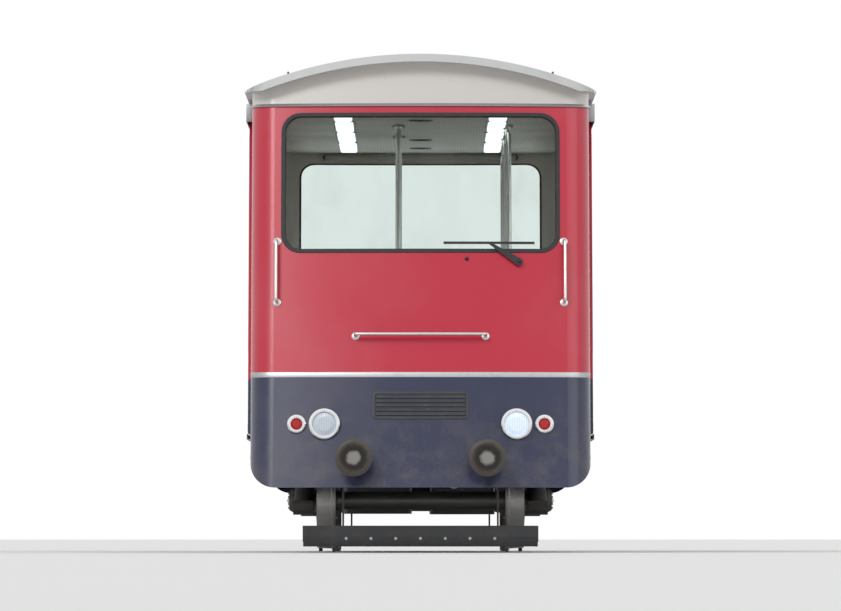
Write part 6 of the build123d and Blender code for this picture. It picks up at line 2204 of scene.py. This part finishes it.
@dataclass(frozen=True)
class Studio:
    """Pale floor, soft lights, white surroundings and the camera."""

    half: float = 320.0
    distance: float = 60.0
    eye: float = 0.10
    aim: float = 1.70
    lens: float = 372.0
    sky: float = 0.46
    lamps: tuple[tuple[str, float, float, float, float], ...] = (
        ("key_light", 50, -34, 1.15, 22), ("fill_light", 58, 52, 0.45, 40), ("back_light", 50, 160, 0.40, 30),
    )

    def build(self) -> None:
        """Sets the stage."""
        self.floor()
        self.world()
        for name, rise, turn, strength, spread in self.lamps:
            light = bpy.data.lights.new(name, "SUN")
            light.energy, light.angle = strength, math.radians(spread)
            self.place(name, light).rotation_euler = (math.radians(rise), 0, math.radians(turn))
        self.camera()

    @staticmethod
    def place(name: str, what: bpy.types.ID) -> Piece:
        """Puts a lamp or camera into the scene.

        Args:
            name: Its name.
            what: The lamp or camera.

        Returns:
            The object that holds it.
        """
        holder = bpy.data.objects.new(name, what)
        bpy.context.scene.collection.objects.link(holder)
        return holder

    def floor(self) -> None:
        """A plain pale floor that keeps the shadow."""
        floor = Workshop.primitive("studio_floor", bpy.ops.mesh.primitive_plane_add, size=2 * self.half)
        finish = bpy.data.materials.new("pale_floor")
        board = Board(finish)
        grain = board.noise(0.02, 2.0)
        board.surface(board.mix(grain, (0.80, 0.80, 0.79), (0.83, 0.83, 0.82)), 0.70 + grain * 0.1)
        floor.data.materials.append(finish)
        floor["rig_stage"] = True

    def world(self) -> None:
        """Soft even light, and plain white where the camera, glass and metal look past the car."""
        world = bpy.context.scene.world = bpy.data.worlds.new("studio_white")
        board = Board(world)
        path = board.node("ShaderNodeLightPath")
        kinds = ("Camera", "Glossy", "Transmission")
        camera, glossy, through = (Sock(board, path.outputs[f"Is {kind} Ray"]) for kind in kinds)
        seen = camera.maths("MAXIMUM", camera.maths("MAXIMUM", camera, glossy), through)
        lights = (((0.97, 0.985, 1.0, 1.0), self.sky), ((1.0, 1.0, 1.0, 1.0), 1.0))
        soft, white = (
            board.sock("ShaderNodeBackground", None, {"Color": colour, "Strength": strength})
            for colour, strength in lights
        )
        mixed = board.node("ShaderNodeMixShader", None, {0: seen, 1: soft, 2: white})
        board.close(mixed, "ShaderNodeOutputWorld")

    def camera(self) -> None:
        """The camera, low in front of the downhill end and far off, as the car is seen from below."""
        lens = bpy.data.cameras.new("camera")
        lens.lens, lens.sensor_width = self.lens, 36.0
        lens.clip_start, lens.clip_end = 1.0, 900.0
        holder = bpy.context.scene.camera = self.place("camera", lens)
        holder.location = place = Vector((0.0, -self.distance, self.eye))
        holder.rotation_euler = (Vector((0, 0, self.aim)) - place).to_track_quat("-Z", "Y").to_euler()
        bpy.context.scene.view_settings.view_transform = "Standard"


SLOT_FINISHES: dict[str, Finish] = {
    "red_paint": PAINT, "navy_paint": LOWER_PAINT, "roof_paint": ROOF, "frame_paint": CHASSIS,
    "glass": GLASS, "door_aluminium": GEAR, "wheel_steel": WHEELS, "forged_steel": FORGED,
    "rubber": RUBBER, "floor_rubber": FLOOR, "wood": WOOD, "pole_steel": STAINLESS,
    "ceiling_panel": CEILING, "desk_plastic": DESK, "lamp_metal": CHROME, "lens": LENS,
}
NODE_FINISHES: dict[str, Finish] = {
    "battery_box": MACHINE, "hydraulic_unit": MACHINE, "wipers": BLACK_PLASTIC, "buffers": BUFFERS,
}
SUB_ASSEMBLIES = (SideTrim, Windows, SlidingDoors, RoofTrim, EndTrim, RunningGear, UnderfloorPipes, Cabin)


def dress_nodes(nodes: dict[str, Piece]) -> None:
    """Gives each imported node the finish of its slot.

    Args:
        nodes: The nodes by name.
    """
    for name, node in sorted(nodes.items()):
        slot = node.material_slots[0].material.name.split(".")[0]
        finish = NODE_FINISHES.get(name, SLOT_FINISHES[slot])
        if "_door_" in name and finish is PAINT:
            finish = DOOR_PAINT
        finish.dress(node)
        LOG.info("%s: %s", name, finish.name)


def main() -> None:
    """Builds the looks in order."""
    logging.basicConfig(level=logging.INFO, format="%(message)s")
    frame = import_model()
    packed = [list(corner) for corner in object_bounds()]
    Studio().build()
    dress_nodes(frame["nodes"])
    for assembly in SUB_ASSEMBLIES:
        LOG.info("== %s", assembly.__name__)
        assembly().build()
    Workshop.clear()
    {"packed": packed, "visual": [list(corner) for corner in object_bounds()]}


if __name__ == "__main__":
    main()
